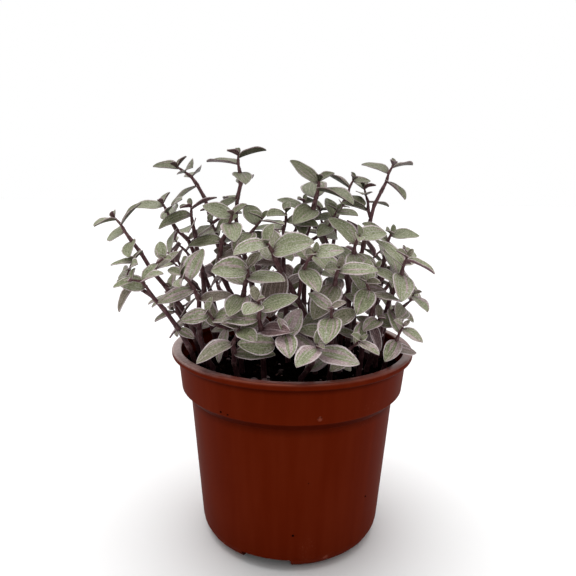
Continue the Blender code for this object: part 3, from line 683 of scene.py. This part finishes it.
def grow_stems():
    """Every shoot of every stem: its joints from the tip down, and the rest of its spine."""
    shoots = []
    for stem_number, stem in enumerate(STEMS):
        for shoot_number, (start, *places, largest, turn) in enumerate(stem):
            dice = random.Random(stem_number * 10 + shoot_number)
            points = [Vector((x * MM, y * MM, z * MM + POT_HEIGHT)) for x, y, z in places]
            if shoot_number == 0:
                root = Vector((start[0] * MM, start[1] * MM, SOIL_LEVEL - ROOT_DEPTH))
                path = smooth_path([Vector((root.x, root.y, SOIL_LEVEL + STRAIGHT_RISE))] + points)
                main = path
                foot = [path[0], root]
                radius = STEM_RADIUS
            else:
                path = smooth_path([walk(main, path_length(main) * start)] + points)
                foot = [path[0]]
                radius = SHOOT_RADIUS
            joints = grow_shoot(path, radius, turn, dice)
            spine = [(path[-1], TIP_RADIUS)]
            spine += [(joint["place"], joint["radius"]) for joint in joints[1:]]
            spine += [(place, radius) for place in foot]
            shoots.append({
                "stem": stem_number,
                "joints": joints,
                "spine": spine,
                "largest": largest * MM,
                "dice": dice,
            })
    return shoots


def close_below(shape, bottom):
    """Give a flat shape a rim and an underside at a height."""
    under = bmesh.ops.extrude_face_region(shape, geom=shape.faces[:], use_keep_orig=True)
    for item in under["geom"]:
        if isinstance(item, bmesh.types.BMVert):
            item.co.z = bottom


def blade_pattern(top, bottom, spread=1.0, start=0.0):
    """The frame's own plain blade, as points (along, across, thickness) and triangles. It only
    tests what a leaf would touch, so that each leaf lands where the frame has it."""
    shape = bmesh.new()
    base = shape.verts.new((start, 0, top))
    near = [shape.verts.new((BLADE_NEAR[0], side * BLADE_NEAR[1] * spread, top)) for side in (-1, 1)]
    far = [shape.verts.new((BLADE_FAR[0], side * BLADE_FAR[1] * spread, top)) for side in (-1, 0, 1)]
    tip = shape.verts.new((1 + (spread - 1) / 2, 0, top))
    for corners in (
        (base, near[1], near[0]),
        (near[0], far[1], far[0]),
        (near[0], near[1], far[1]),
        (near[1], far[2], far[1]),
        (far[0], far[1], tip),
        (far[1], far[2], tip),
    ):
        shape.faces.new(corners)
    close_below(shape, bottom)
    bmesh.ops.triangulate(shape, faces=shape.faces)
    bmesh.ops.recalc_face_normals(shape, faces=shape.faces)
    shape.verts.index_update()
    points = [tuple(vertex.co) for vertex in shape.verts]
    faces = [tuple(vertex.index for vertex in face.verts) for face in shape.faces]
    shape.free()
    return points, faces


def bend_blade(pattern, leaf):
    """A flat pattern placed as a leaf, arched along its midrib, folded along it and rolled, as a
    surface to test others against."""
    points, faces = pattern
    out = Vector((math.cos(leaf["azimuth"]), math.sin(leaf["azimuth"]), 0))
    side = leaf["lean"] @ Vector((-out.y, out.x, 0))
    up = leaf["lean"] @ Vector((0, 0, 1))
    out = leaf["lean"] @ out
    placed = []
    for along, across, deep in points:
        pitch = leaf["lift"] - leaf["arch"] * along
        run = (math.sin(leaf["lift"]) - math.sin(pitch)) / leaf["arch"] * leaf["length"]
        climb = (math.cos(pitch) - math.cos(leaf["lift"])) / leaf["arch"] * leaf["length"]
        normal = up * math.cos(pitch) - out * math.sin(pitch)
        edge = side * math.cos(leaf["roll"]) + normal * math.sin(leaf["roll"])
        face = normal * math.cos(leaf["roll"]) - side * math.sin(leaf["roll"])
        half = leaf["length"] * BLADE_WIDTH * leaf["slim"] / 2 * across
        offset = edge * half + face * (abs(half) * leaf["fold"] + deep)
        placed.append(leaf["base"] + out * (leaf["seat"] + run) + up * climb + offset)
    return BVHTree.FromPolygons(placed, faces)


def ringed(rows):
    """A surface through rows of points, each row closed into a ring, to test leaves against."""
    around = len(rows[0])
    faces = []
    for first in range(0, around * (len(rows) - 1), around):
        for step in range(around):
            a, b = first + step, first + (step + 1) % around
            faces.append((a, b, b + around, a + around))
    return BVHTree.FromPolygons([point for row in rows for point in row], faces)


def tube_around(spine):
    """A plain square tube round a spine, used only to keep leaves clear of stems."""
    corners = [Vector(corner) for corner in ((1, 0, 0), (0, 1, 0), (-1, 0, 0), (0, -1, 0))]
    return ringed([[place + way * (radius + CLEARANCE) for way in corners] for place, radius in spine])


def pot_guard():
    """A ring round the pot's rim and a disc over the soil that leaves keep clear of."""
    over_soil = SOIL_LEVEL + 2 * SOIL_SWELL + GUARD
    angles = [step * 2 * math.pi / GUARD_STEPS for step in range(GUARD_STEPS)]
    return ringed([
        [Vector((radius * math.cos(angle), radius * math.sin(angle), height)) for angle in angles]
        for radius, height in (
            (0, over_soil),
            (BAND_FOOT_RADIUS - WALL - 2 * GUARD, over_soil),
            (BAND_TOP_RADIUS - WALL - GUARD, POT_HEIGHT + GUARD),
            (RIM_RADIUS + GUARD, POT_HEIGHT + GUARD),
            (RIM_RADIUS + GUARD, POT_HEIGHT - LIP_DEPTH - GUARD),
            (BAND_FOOT_RADIUS + GUARD, BAND_FOOT_HEIGHT),
        )
    ])


def capped(share):
    """A share held between 0 and 1."""
    return min(1, max(0, share))


def between(limits, share):
    return limits[0] + (limits[1] - limits[0]) * share


def facing(place, up):
    """How far a leaf's level is tipped: with its stem, and on a low shoot outwards to the light."""
    away = place.xy - LEAN_FROM
    lean = math.radians(LEAN) * capped((LEVEL_HEIGHT - place.z) / LEAN_RANGE)
    light = Quaternion((-away.y, away.x, 0), lean) @ Vector((0, 0, 1))
    return Vector((0, 0, 1)).rotation_difference(light + up * STEM_PULL)


def leaf_at(shoot, number):
    """The leaf that the rule gives a joint, and the draw that decides whether it is bare."""
    joint = shoot["joints"][number]
    kind = min(number, len(LEAF_SIZES) - 1)
    size, lift, arch, roll, fold, slim, bare = (shoot["dice"].random() for _ in range(7))
    return {
        "base": joint["place"],
        "seat": joint["radius"] * BLADE_SEAT,
        "azimuth": joint["azimuth"],
        "lean": facing(joint["place"], joint["up"]),
        "lift": math.radians(LEAF_LIFTS[kind] + between((-LIFT_SPREAD, LIFT_SPREAD), lift)),
        "arch": math.radians(between(ARCH, arch)),
        "roll": math.radians(between((-ROLL_SPREAD, ROLL_SPREAD), roll)),
        "fold": between(FOLD, fold),
        "slim": between(SLIM, slim) - SLIMMER_BELOW * kind,
        "length": shoot["largest"] * LEAF_SIZES[kind]
        * between((1 - LENGTH_SPREAD, 1 + LENGTH_SPREAD), size),
        "stem": shoot["stem"],
        "kind": kind,
        "bare": bare,
        "age": capped((kind - 1) / 3),
    }


def clear_leaf(wanted, whole, fat, taken):
    """Swing, lift or shorten a leaf until it is clear of every other piece. None if it never is."""
    for shorter, lift, swing in product(SHORTENED, LIFTED, SWUNG):
        leaf = dict(wanted)
        leaf["length"] *= shorter
        leaf["lift"] += math.radians(lift)
        leaf["azimuth"] += math.radians(swing)
        near = bend_blade(fat, leaf)
        if not any(near.overlap(other) for _, other in taken):
            root = bend_blade(whole, leaf)
            if not any(root.overlap(other) for owner, other in taken if owner != leaf["stem"]):
                return leaf
    return None


def grow_leaves(shoots):
    """Give the joints their leaves, the tips of all the shoots first. The frame's own leaves come
    first, and then the plant's older inner ones, on joints that the frame leaves bare."""
    whole = blade_pattern(0, -BLADE_THICKNESS)
    fat = blade_pattern(CLEARANCE, -BLADE_THICKNESS - CLEARANCE, FAT_SPREAD, FAT_START)
    low, high = INNER_LEAF_HEIGHTS
    framed, inner = [], []
    for number in range(max(len(shoot["joints"]) for shoot in shoots)):
        for shoot in shoots:
            if number < len(shoot["joints"]):
                wanted = leaf_at(shoot, number)
                place = wanted["base"]
                if wanted["bare"] <= LEAF_ODDS[wanted["kind"]]:
                    framed.append(wanted)
                elif low < place.z < high and place.xy.length < INNER_LEAF_RADIUS:
                    inner.append({**wanted, "age": 1})
    taken = [(None, pot_guard())] + [(shoot["stem"], tube_around(shoot["spine"])) for shoot in shoots]
    leaves = []
    for wanted in framed + inner:
        leaf = clear_leaf(wanted, whole, fat, taken)
        if leaf is not None:
            leaves.append(leaf)
            taken.append((leaf["stem"], bend_blade(whole, leaf)))
    return leaves


SHEATH_LENGTH = 2.4 * MM
SHEATH_SHARE = 0.45
SHEATH_EDGE = 0.12 * MM
SPEAR_LENGTH = 0.9 * MM
SPEAR_POINT = 0.25
# The rings at a joint: how many sheath lengths up or down, how much wider, and how papery
JOINT_RINGS = ((1.0, 1.13, 1.0), (0.5, 1.1, 1.0), (0.15, 1.24, 0.7), (-0.1, 1.18, 0.3), (-0.35, 1, 0.0))
TIP_THINNING = (0.5, 0.72, 0.88)
STURDIEST_LEAF = (13 * MM, 22 * MM)
STURDINESS = (0.05, 0.75)
STEM_SIDES = 10
# The young leaves rolled up at a tip: degrees of lift, length as a share of the largest, and fold
BUD_LEAVES = ((26, 0.44, 0.6), (50, 0.27, 0.95))
BUD_ARCH = 12
BUD_SLIM = 0.9

BLADE_ROWS = 14
BLADE_COLUMNS = 12
BLADE_REACH = (0.004, 0.998)
FINE_THICKNESS = 0.5 * MM
MARGIN_THINNING = 0.55
FULLNESS = 1.1
SWAY = 0.09
RIPPLE = 0.018
RIPPLE_ANGLE = 9.0
VEIN_RELIEF = 0.06 * MM
VEIN_WAVES = 6
# The powers that round a blade at its base and its tip, and the most that they give together
BASE_POWER = 0.55
TIP_POWER = 0.78
FULLEST = 0.4057

STRIPED_BELOW = POT_HEIGHT + 56 * MM
STRIPED_RANGE = 40 * MM
DEEPEST_HEIGHTS = (POT_HEIGHT + 52 * MM, POT_HEIGHT + 82 * MM)
STRIPED_SHARES = (0.3, 1.0)
# An old leaf has hardly turned mauve, or nearly all of it has, and less so high up
MAUVE_SHARES = (0.15, 0.95)
MAUVE_POWER = 0.25


def stem_rings(shoot):
    """The rings down a shoot from its growing tip: place, radius, and 1 on the sheath that each
    leaf wraps round the stem above its swollen joint, or 0 on the bare stem."""
    thickest = shoot["spine"][-1][1]
    least, most = STURDIEST_LEAF
    sturdy = between(STURDINESS, capped((shoot["largest"] - least) / (most - least)))
    spine = [(place, between((radius, thickest), sturdy)) for place, radius in shoot["spine"]]
    for number, thinner in enumerate(TIP_THINNING):
        spine[number] = (spine[number][0], spine[number][1] * thinner)
    tip, radius = spine[0]
    up = (tip - spine[1][0]).normalized()
    rings = [(tip + up * SPEAR_LENGTH, radius * SPEAR_POINT, 1.0), (tip, radius, 1.0)]
    for number, (place, radius) in enumerate(spine[1:], 1):
        if number >= len(shoot["joints"]):
            rings.append((place, radius, 0.0))
            continue
        above = spine[number - 1][0] - place
        up = above.normalized()
        down = (spine[number + 1][0] - place).normalized()
        sheath = min(SHEATH_LENGTH, above.length * SHEATH_SHARE)
        rings.append((place + up * (sheath + SHEATH_EDGE), radius, 0.0))
        for reach, wider, papery in JOINT_RINGS:
            way = up if reach > 0 else down
            rings.append((place + way * sheath * abs(reach), radius * wider, papery))
    return rings


def bud_leaves(shoot):
    """The rolled young leaves that stand at a shoot's tip."""
    tip, radius = shoot["spine"][0]
    first = shoot["joints"][0]
    buds = []
    for number, (lift, size, fold) in enumerate(BUD_LEAVES, 1):
        buds.append({
            "base": tip,
            "seat": radius * BLADE_SEAT,
            "azimuth": first["azimuth"] - math.radians(number * LEAF_TURN),
            "lean": facing(tip, first["up"]),
            "lift": math.radians(lift),
            "arch": math.radians(BUD_ARCH),
            "roll": 0,
            "fold": fold,
            "slim": BUD_SLIM,
            "length": shoot["largest"] * size,
            "stem": shoot["stem"],
            "age": 0.5,
        })
    return buds


def stem_plan(name, shoots, leaves):
    """What the tree grows a leafy stem from: the rings of each shoot joined by edges, and a loose
    point for each leaf, with all that shapes them in named attributes."""
    points, edges, facts = [], [], []
    for shoot in shoots:
        rings = stem_rings(shoot)
        edges += [(len(points) + i, len(points) + i + 1) for i in range(len(rings) - 1)]
        for place, radius, sheath in rings:
            points.append(place)
            facts.append({"stem": (radius, sheath, 0)})
    for number, leaf in enumerate(leaves):
        dice = random.Random(1000 * leaf["stem"] + number)
        low = capped((STRIPED_BELOW - leaf["base"].z) / STRIPED_RANGE)
        width = leaf["length"] * BLADE_WIDTH * leaf["slim"] * FULLNESS
        form = (leaf["fold"], dice.uniform(-SWAY, SWAY), dice.uniform(0, 2 * math.pi))
        mauve = leaf["age"] * low ** MAUVE_POWER * dice.choice(MAUVE_SHARES)
        points.append(leaf["base"])
        facts.append({
            "size": (leaf["length"], width / 2, leaf["seat"]),
            "bend": (leaf["lift"], leaf["arch"], leaf["roll"]),
            "form": form,
            "leaf": (dice.random(), low * dice.uniform(*STRIPED_SHARES), mauve),
            "turn": leaf["lean"] @ Quaternion((0, 0, 1), leaf["azimuth"]),
        })
    mesh = bpy.data.meshes.new(name)
    mesh.from_pydata(points, edges, [])
    for fact in ("stem", "size", "bend", "form", "leaf"):
        held = mesh.attributes.new(fact, "FLOAT_VECTOR", "POINT")
        values = [row.get(fact, (0, 0, 0)) for row in facts]
        held.data.foreach_set("vector", [number for value in values for number in value])
    held = mesh.attributes.new("turn", "QUATERNION", "POINT")
    values = [row.get("turn", (1, 0, 0, 0)) for row in facts]
    held.data.foreach_set("value", [number for value in values for number in value])
    return link(name, mesh)


def flat_blade():
    """A closed sheet that the tree shapes into each leaf. Its attribute says where each point is:
    along from 0 to 1, across from -1 to 1, and 0 on the upper face or -1 on the lower one."""
    shape = bmesh.new()
    bmesh.ops.create_grid(shape, x_segments=BLADE_ROWS, y_segments=BLADE_COLUMNS, size=1)
    for vertex in shape.verts:
        along = (1 - math.cos(math.pi * (vertex.co.x + 1) / 2)) / 2
        vertex.co.x = between(BLADE_REACH, along)
    close_below(shape, -1)
    bmesh.ops.recalc_face_normals(shape, faces=shape.faces)
    mesh = mesh_of(shape, "flat blade")
    held = mesh.attributes.new("blade", "FLOAT_VECTOR", "POINT")
    held.data.foreach_set("vector", [number for vertex in mesh.vertices for number in vertex.co])
    return link("flat_blade", mesh)


def leafy_stem_tree():
    """Round stems along the plan's edges, and a bent blade at each of its loose points."""
    tree, given = new_tree("leafy stem", {
        "Blade": "Object", "Blade Thickness": "Float", "Vein Relief": "Float", "Ripple": "Float",
        "Stem Sides": "Int", "Stem Skin": "Material", "Leaf Skin": "Material",
    })
    vector = {"data_type": "FLOAT_VECTOR"}
    known = {name: given[name] for name in ("Blade Thickness", "Vein Relief", "Ripple")}
    for fact, names in (
        ("stem", ("radius",)),
        ("size", ("length", "half width", "seat")),
        ("bend", ("lift", "arch", "roll")),
        ("form", ("fold", "sway", "first ripple")),
        ("blade", ("along", "across", "face")),
    ):
        known[fact] = add(tree, "GeometryNodeInputNamedAttribute", {"Name": fact}, **vector)
        known.update(zip(names, add(tree, "ShaderNodeSeparateXYZ", known[fact]).outputs))

    curve = add(tree, "GeometryNodeMeshToCurve", given["Geometry"])
    distance = add(tree, "GeometryNodeSplineParameter").outputs["Length"]
    curve = add(tree, "GeometryNodeStoreNamedAttribute", {
        "Geometry": curve, "Name": "down", "Value": distance,
    }, data_type="FLOAT", domain="POINT")
    ring = add(tree, "GeometryNodeCurvePrimitiveCircle", {"Resolution": given["Stem Sides"], "Radius": 1.0})
    ring = add(tree, "GeometryNodeStoreNamedAttribute", {
        "Geometry": ring, "Name": "around", "Value": add(tree, "GeometryNodeInputPosition"),
    }, domain="POINT", **vector)
    stems = add(tree, "GeometryNodeCurveToMesh", {
        "Curve": curve, "Profile Curve": ring, "Scale": known["radius"], "Fill Caps": True,
    })
    stems = add(tree, "GeometryNodeSetMaterial", {"Geometry": stems, "Material": given["Stem Skin"]})

    blades = add(tree, "GeometryNodeInstanceOnPoints", {
        "Points": given["Geometry"],
        "Selection": add(tree, "FunctionNodeCompare", known["length"], 0.0, operation="GREATER_THAN"),
        "Instance": add(tree, "GeometryNodeObjectInfo", {"Object": given["Blade"]}).outputs["Geometry"],
    })
    blades = add(tree, "GeometryNodeRealizeInstances", blades)
    position = add(tree, "GeometryNodeInputPosition")
    origin = add(tree, "ShaderNodeVectorMath", position, known["blade"], operation="SUBTRACT")

    # A blade's sums, one on each line: the result's name, the operation and its terms
    for name, operation, *terms in (
        # The outline: an oval, fullest just below its middle, with a short point
        ("base", "POWER", "along", BASE_POWER),
        ("tip", "SUBTRACT", 1.0, "along"),
        ("tip", "POWER", "tip", TIP_POWER),
        ("outline", "MULTIPLY", "base", "tip"),
        ("outline", "MULTIPLY", "outline", 1 / FULLEST),
        ("half", "MULTIPLY", "outline", "half width"),
        ("half", "MULTIPLY", "half", "across"),
        # The cross-section: creased along the midrib, cupped, ribbed along the veins, with a
        # rippled margin that is thinner than the midrib
        ("cupped", "ABSOLUTE", "across"),
        ("cupped", "MULTIPLY_ADD", "cupped", 0.5, 0.5),
        ("rise", "ABSOLUTE", "half"),
        ("rise", "MULTIPLY", "rise", "cupped"),
        ("rise", "MULTIPLY", "rise", "fold"),
        ("squared", "MULTIPLY", "across", "across"),
        ("inside", "SUBTRACT", 1.0, "squared"),
        ("ribs", "MULTIPLY", "across", VEIN_WAVES * math.pi),
        ("ribs", "COSINE", "ribs"),
        ("ribs", "MULTIPLY", "ribs", "Vein Relief"),
        ("ribs", "MULTIPLY", "ribs", "inside"),
        ("rise", "SUBTRACT", "rise", "ribs"),
        ("wave", "MULTIPLY_ADD", "along", RIPPLE_ANGLE, "first ripple"),
        ("wave", "SINE", "wave"),
        ("wave", "MULTIPLY", "wave", "squared"),
        ("wave", "MULTIPLY", "wave", "Ripple"),
        ("wave", "MULTIPLY", "wave", "outline"),
        ("rise", "MULTIPLY_ADD", "wave", "length", "rise"),
        ("thick", "MULTIPLY_ADD", "squared", -MARGIN_THINNING, 1.0),
        ("thick", "MULTIPLY", "thick", "Blade Thickness"),
        ("rise", "MULTIPLY_ADD", "thick", "face", "rise"),
        ("swung", "POWER", "along", 2.0),
        ("swung", "MULTIPLY", "swung", "sway"),
        ("half", "MULTIPLY_ADD", "swung", "length", "half"),
        # The midrib: how far out and up its arch has carried each section
        ("pitch", "MULTIPLY", "arch", "along"),
        ("pitch", "SUBTRACT", "lift", "pitch"),
        ("downwards", "MULTIPLY", "pitch", -1.0),
        ("arch radius", "DIVIDE", "length", "arch"),
        ("lift sine", "SINE", "lift"),
        ("pitch sine", "SINE", "pitch"),
        ("run", "SUBTRACT", "lift sine", "pitch sine"),
        ("run", "MULTIPLY_ADD", "run", "arch radius", "seat"),
        ("lift cosine", "COSINE", "lift"),
        ("pitch cosine", "COSINE", "pitch"),
        ("climb", "SUBTRACT", "pitch cosine", "lift cosine"),
        ("climb", "MULTIPLY", "climb", "arch radius"),
    ):
        terms = [known.get(term, term) for term in terms]
        known[name] = add(tree, "ShaderNodeMath", *terms, operation=operation)

    section = add(tree, "ShaderNodeCombineXYZ", 0.0, known["half"], known["rise"])
    for axis, angle in (("X_AXIS", "roll"), ("Y_AXIS", "downwards")):
        section = add(tree, "ShaderNodeVectorRotate", {
            "Vector": section, "Angle": known[angle],
        }, rotation_type=axis)
    midrib = add(tree, "ShaderNodeCombineXYZ", known["run"], 0.0, known["climb"])
    local = add(tree, "ShaderNodeVectorMath", midrib, section)
    turn = add(tree, "GeometryNodeInputNamedAttribute", {"Name": "turn"}, data_type="QUATERNION")
    turned_blade = add(tree, "FunctionNodeRotateVector", local, turn)
    placed = add(tree, "ShaderNodeVectorMath", origin, turned_blade)
    blades = add(tree, "GeometryNodeSetPosition", {"Geometry": blades, "Position": placed})
    blades = add(tree, "GeometryNodeSetMaterial", {"Geometry": blades, "Material": given["Leaf Skin"]})
    both = add(tree, "GeometryNodeJoinGeometry", [stems, blades])
    add(tree, "NodeGroupOutput", add(tree, "GeometryNodeSetShadeSmooth", both))
    return tree


def stem_skin():
    """A turtle vine's stem: fleshy and purple-brown, darkest low down where it is oldest, with fine
    paler lines along it and dry, browner sheaths above the joints."""
    made, tree, shader = new_material("turtle vine stem")
    place = add(tree, "ShaderNodeTexCoord").outputs["Object"]
    height = add(tree, "ShaderNodeSeparateXYZ", place).outputs["Z"]
    facts, around = [
        add(tree, "ShaderNodeAttribute", attribute_name=fact).outputs["Vector"]
        for fact in ("stem", "around")
    ]
    sheath = add(tree, "ShaderNodeSeparateXYZ", facts).outputs["Y"]
    down = add(tree, "ShaderNodeAttribute", attribute_name="down").outputs["Fac"]
    along = add(tree, "ShaderNodeMath", down, 0.25 / MM, operation="MULTIPLY")
    skin = add(tree, "ShaderNodeVectorMath", around, add(tree, "ShaderNodeCombineXYZ", {"Z": along}))
    lines = add(tree, "ShaderNodeTexNoise", {"Vector": skin, "Scale": 2.2, "Detail": 4.0})
    blotches = add(tree, "ShaderNodeTexNoise", {"Vector": place, "Scale": 0.12 / MM, "Detail": 3.0})
    tone = add(tree, "ShaderNodeMapRange", height, SOIL_LEVEL, LEVEL_HEIGHT, -0.11, 0.09)
    for pattern, weight in ((lines, 0.6), (blotches, 0.4)):
        tone = add(tree, "ShaderNodeMath", pattern, weight, tone, operation="MULTIPLY_ADD")
    bare = add(tree, "ShaderNodeValToRGB", tone, stops=[
        (0.35, "#3c2024"), (0.5, "#5a393c"), (0.66, "#7d5c5f"),
    ])
    papery = add(tree, "ShaderNodeValToRGB", lines, stops=[(0.35, "#46302f"), (0.6, "#715655")])
    cover = add(tree, "ShaderNodeMath", sheath, 0.75, operation="MULTIPLY")
    feed(shader, {
        "Base Color": add(tree, "ShaderNodeMix", cover, bare, papery, data_type="RGBA"),
        "Normal": add(tree, "ShaderNodeBump", {
            "Strength": 0.5, "Distance": 0.15 * MM, "Height": lines,
        }),
        "Roughness": 0.5, "Specular IOR Level": 0.2,
    })
    return made


def leaf_skin():
    """A turtle vine's leaf: waxy sage green above, deepest at the top of the plant, with fine
    parallel veins, a cream margin and pink stripes that are boldest low down. Its underside is
    mauve, or olive on some of the high leaves, and the inner leaves turn mauve with age. That mauve
    is painted darker as well, as painted shade deep in the plant. Its glistening cells are drawn
    0.7 mm across, coarser than they are, so that they show."""
    made, tree, shader = new_material("turtle vine leaf")
    (along, across, face), (chance, striped, mauve) = [
        add(tree, "ShaderNodeSeparateXYZ", held.outputs["Vector"]).outputs
        for held in [add(tree, "ShaderNodeAttribute", attribute_name=fact) for fact in ("blade", "leaf")]
    ]
    under = add(tree, "ShaderNodeMath", face, -1.0, operation="MULTIPLY")
    away = add(tree, "ShaderNodeMath", across, operation="ABSOLUTE")

    # Patterns on the plant, and patterns in the blade's own frame, where each leaf reads its own
    # part of the noise
    place = add(tree, "ShaderNodeTexCoord").outputs["Object"]
    own = add(tree, "ShaderNodeMath", chance, 41.0, operation="MULTIPLY")
    short = add(tree, "ShaderNodeMath", along, 0.3, operation="MULTIPLY")
    skin = add(tree, "ShaderNodeCombineXYZ", short, across, own)
    cells, clouds, fine, broad = [
        add(tree, "ShaderNodeTexNoise", {"Vector": vector, "Scale": scale, "Detail": detail})
        for vector, scale, detail in (
            (place, 1.4 / MM, 3.0), (place, 0.14 / MM, 2.0), (skin, 11.0, 3.0), (skin, 2.9, 1.0),
        )
    ]
    ribs = add(tree, "ShaderNodeMath", across, VEIN_WAVES * math.pi, operation="MULTIPLY")
    ribs = add(tree, "ShaderNodeMath", ribs, operation="COSINE")
    veins = add(tree, "ShaderNodeMapRange", ribs, 0.85, 1.0, 0.0, 0.75)
    veins = add(tree, "ShaderNodeMath", veins, fine, operation="MULTIPLY")
    ribs = add(tree, "ShaderNodeMapRange", ribs, 0.5, 1.0)

    sums = []
    for terms in (
        ((broad, 1.0), (fine, 0.22), (striped, 0.17), (mauve, -0.08)),
        ((away, 1.0), (fine, 0.1), (striped, 0.06)),
        ((cells, 0.65), (clouds, 0.12), (fine, 0.23), (ribs, 0.07), (chance, 0.08)),
        ((chance, 1.0), (striped, 0.5)),
        ((cells, 1.0), (fine, 1.5)),
    ):
        total = 0.0
        for pattern, weight in terms:
            total = add(tree, "ShaderNodeMath", pattern, weight, total, operation="MULTIPLY_ADD")
        sums.append(total)
    stripes, edge, tone, low, relief = sums
    stripes = add(tree, "ShaderNodeMapRange", stripes, 0.77, 0.79, 0.0, 0.9)
    pale_part = add(tree, "ShaderNodeMath", stripes, veins, operation="MAXIMUM")
    edge = add(tree, "ShaderNodeMapRange", edge, 0.935, 0.965)
    rosy = add(tree, "ShaderNodeMapRange", along, 0.0, 1 / 7, 1.0, 0.0)
    low = add(tree, "ShaderNodeMapRange", low, 0.4, 0.65)
    height = add(tree, "ShaderNodeSeparateXYZ", place).outputs["Z"]
    deepest = add(tree, "ShaderNodeMapRange", height, *DEEPEST_HEIGHTS)

    # The old leaves' mauve is real, but its dark end is painted shade for the inside of the plant.
    green, aged_and_shaded_mauve, pink, cream, purple, olive = [
        add(tree, "ShaderNodeValToRGB", pattern, stops=stops) for pattern, stops in (
            (tone, [(0.4, "#626849"), (0.52, "#878d69"), (0.6, "#999d7e"), (0.72, "#b5b6a8")]),
            (tone, [(0.4, "#3f2b2e"), (0.6, "#7b5d60")]),
            (cells, [(0.35, "#a08689"), (0.6, "#c1abad"), (0.75, "#d5c6c7")]),
            (cells, [(0.35, "#b8a8a8"), (0.6, "#dfd2d2")]),
            (fine, [(0.35, "#553a41"), (0.65, "#8a676e")]),
            (fine, [(0.35, "#4a4a38"), (0.65, "#6c6b59")]),
        )
    ]
    upper, lower = green, olive
    for share, layer in ((mauve, aged_and_shaded_mauve), (rosy, linear("#5e484a")), (pale_part, pink), (edge, cream)):
        upper = add(tree, "ShaderNodeMix", share, upper, layer, data_type="RGBA")
    for share, layer in ((low, purple), (edge, pink)):
        lower = add(tree, "ShaderNodeMix", share, lower, layer, data_type="RGBA")
    colour = add(tree, "ShaderNodeMix", under, upper, lower, data_type="RGBA")
    colour = add(
        tree, "ShaderNodeMix", deepest, colour, linear("#c6c3c0"), data_type="RGBA", blend_type="MULTIPLY",
    )
    feed(shader, {
        "Base Color": colour, "Roughness": 0.5, "Specular IOR Level": 0.3,
        "Normal": add(tree, "ShaderNodeBump", {
            "Strength": 0.4, "Distance": 0.12 * MM, "Height": relief,
        }),
    })
    return made


shoots = grow_stems()
leaves = grow_leaves(shoots)
leaves += [bud for shoot in shoots for bud in bud_leaves(shoot)]
blade = flat_blade()
stem_tree = leafy_stem_tree()
skins = stem_skin(), leaf_skin()
for number in range(len(STEMS)):
    name = f"leafy_stem_{number + 1:02d}"
    piece = stem_plan(
        name + "_plant",
        [shoot for shoot in shoots if shoot["stem"] == number],
        [leaf for leaf in leaves if leaf["stem"] == number],
    )
    run_tree(piece, stem_tree, {
        "Blade": blade, "Blade Thickness": FINE_THICKNESS, "Vein Relief": VEIN_RELIEF, "Ripple": RIPPLE,
        "Stem Sides": STEM_SIDES, "Stem Skin": skins[0], "Leaf Skin": skins[1],
    })
    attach(piece, "root")
    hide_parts(name)
bpy.data.objects.remove(blade)


# Studio. A white floor that runs out of sight, soft light from all round that is strongest above
# and behind the plant, and the camera where the photograph was taken from: 27 cm in front of the
# pot's middle, just below the height of the top leaves, and tipped a little down.

FLOOR_SIZE = 8.0
CAMERA_PLACE = Vector((-2.5, -269.7, 177.8)) * MM
CAMERA_PITCH = 0.1928
CAMERA_ROLL = 0.0134
FOCAL_PIXELS = 550
FRAME_PIXELS = 576
SUN_FROM = (-0.1, 0.12, 1)
SUN_SPREAD = 50
SUN_STRENGTH = 1.6
GLOW = 0.5
BACKDROP_GLOW = 0.8

shape = bmesh.new()
bmesh.ops.create_grid(shape, x_segments=1, y_segments=1, size=FLOOR_SIZE / 2)
floor = link("floor", mesh_of(shape, "floor"))
matt_white, _, floor_shader = new_material("matt white floor")
feed(floor_shader, {"Base Color": linear("#f4f4f4"), "Roughness": 0.9})
floor.data.materials.append(matt_white)

world = bpy.data.worlds.new("studio")
bpy.context.scene.world = world
world.use_nodes = True
world_tree = world.node_tree
toward = add(world_tree, "ShaderNodeTexCoord").outputs["Generated"]
toward = add(world_tree, "ShaderNodeSeparateXYZ", toward).outputs
glow = add(world_tree, "ShaderNodeMapRange", toward["Y"], 0.6, 1.0, GLOW, GLOW + BACKDROP_GLOW)
for axis, weight in (("Y", 0.2), ("Z", 0.4)):
    glow = add(world_tree, "ShaderNodeMath", toward[axis], weight, glow, operation="MULTIPLY_ADD")
seen = add(world_tree, "ShaderNodeLightPath").outputs["Is Camera Ray"]
glow = add(world_tree, "ShaderNodeMix", seen, glow, 1.0)
feed(world_tree.nodes["Background"], {"Color": (1, 1, 1, 1), "Strength": glow})

lamp = bpy.data.lights.new("soft overhead light", "SUN")
lamp.energy = SUN_STRENGTH
lamp.angle = math.radians(SUN_SPREAD)
sun = link("soft_overhead_light", lamp)
sun.rotation_euler = Vector(SUN_FROM).to_track_quat("Z", "Y").to_euler()

lens = bpy.data.cameras.new("camera")
lens.sensor_width = 36
lens.lens = lens.sensor_width * FOCAL_PIXELS / FRAME_PIXELS
camera = link("camera", lens)
camera.location = CAMERA_PLACE
level = Quaternion((1, 0, 0), math.pi / 2 - CAMERA_PITCH)
camera.rotation_euler = (level @ Quaternion((0, 0, 1), CAMERA_ROLL)).to_euler()
bpy.context.scene.camera = camera
bpy.context.scene.view_settings.view_transform = "Standard"
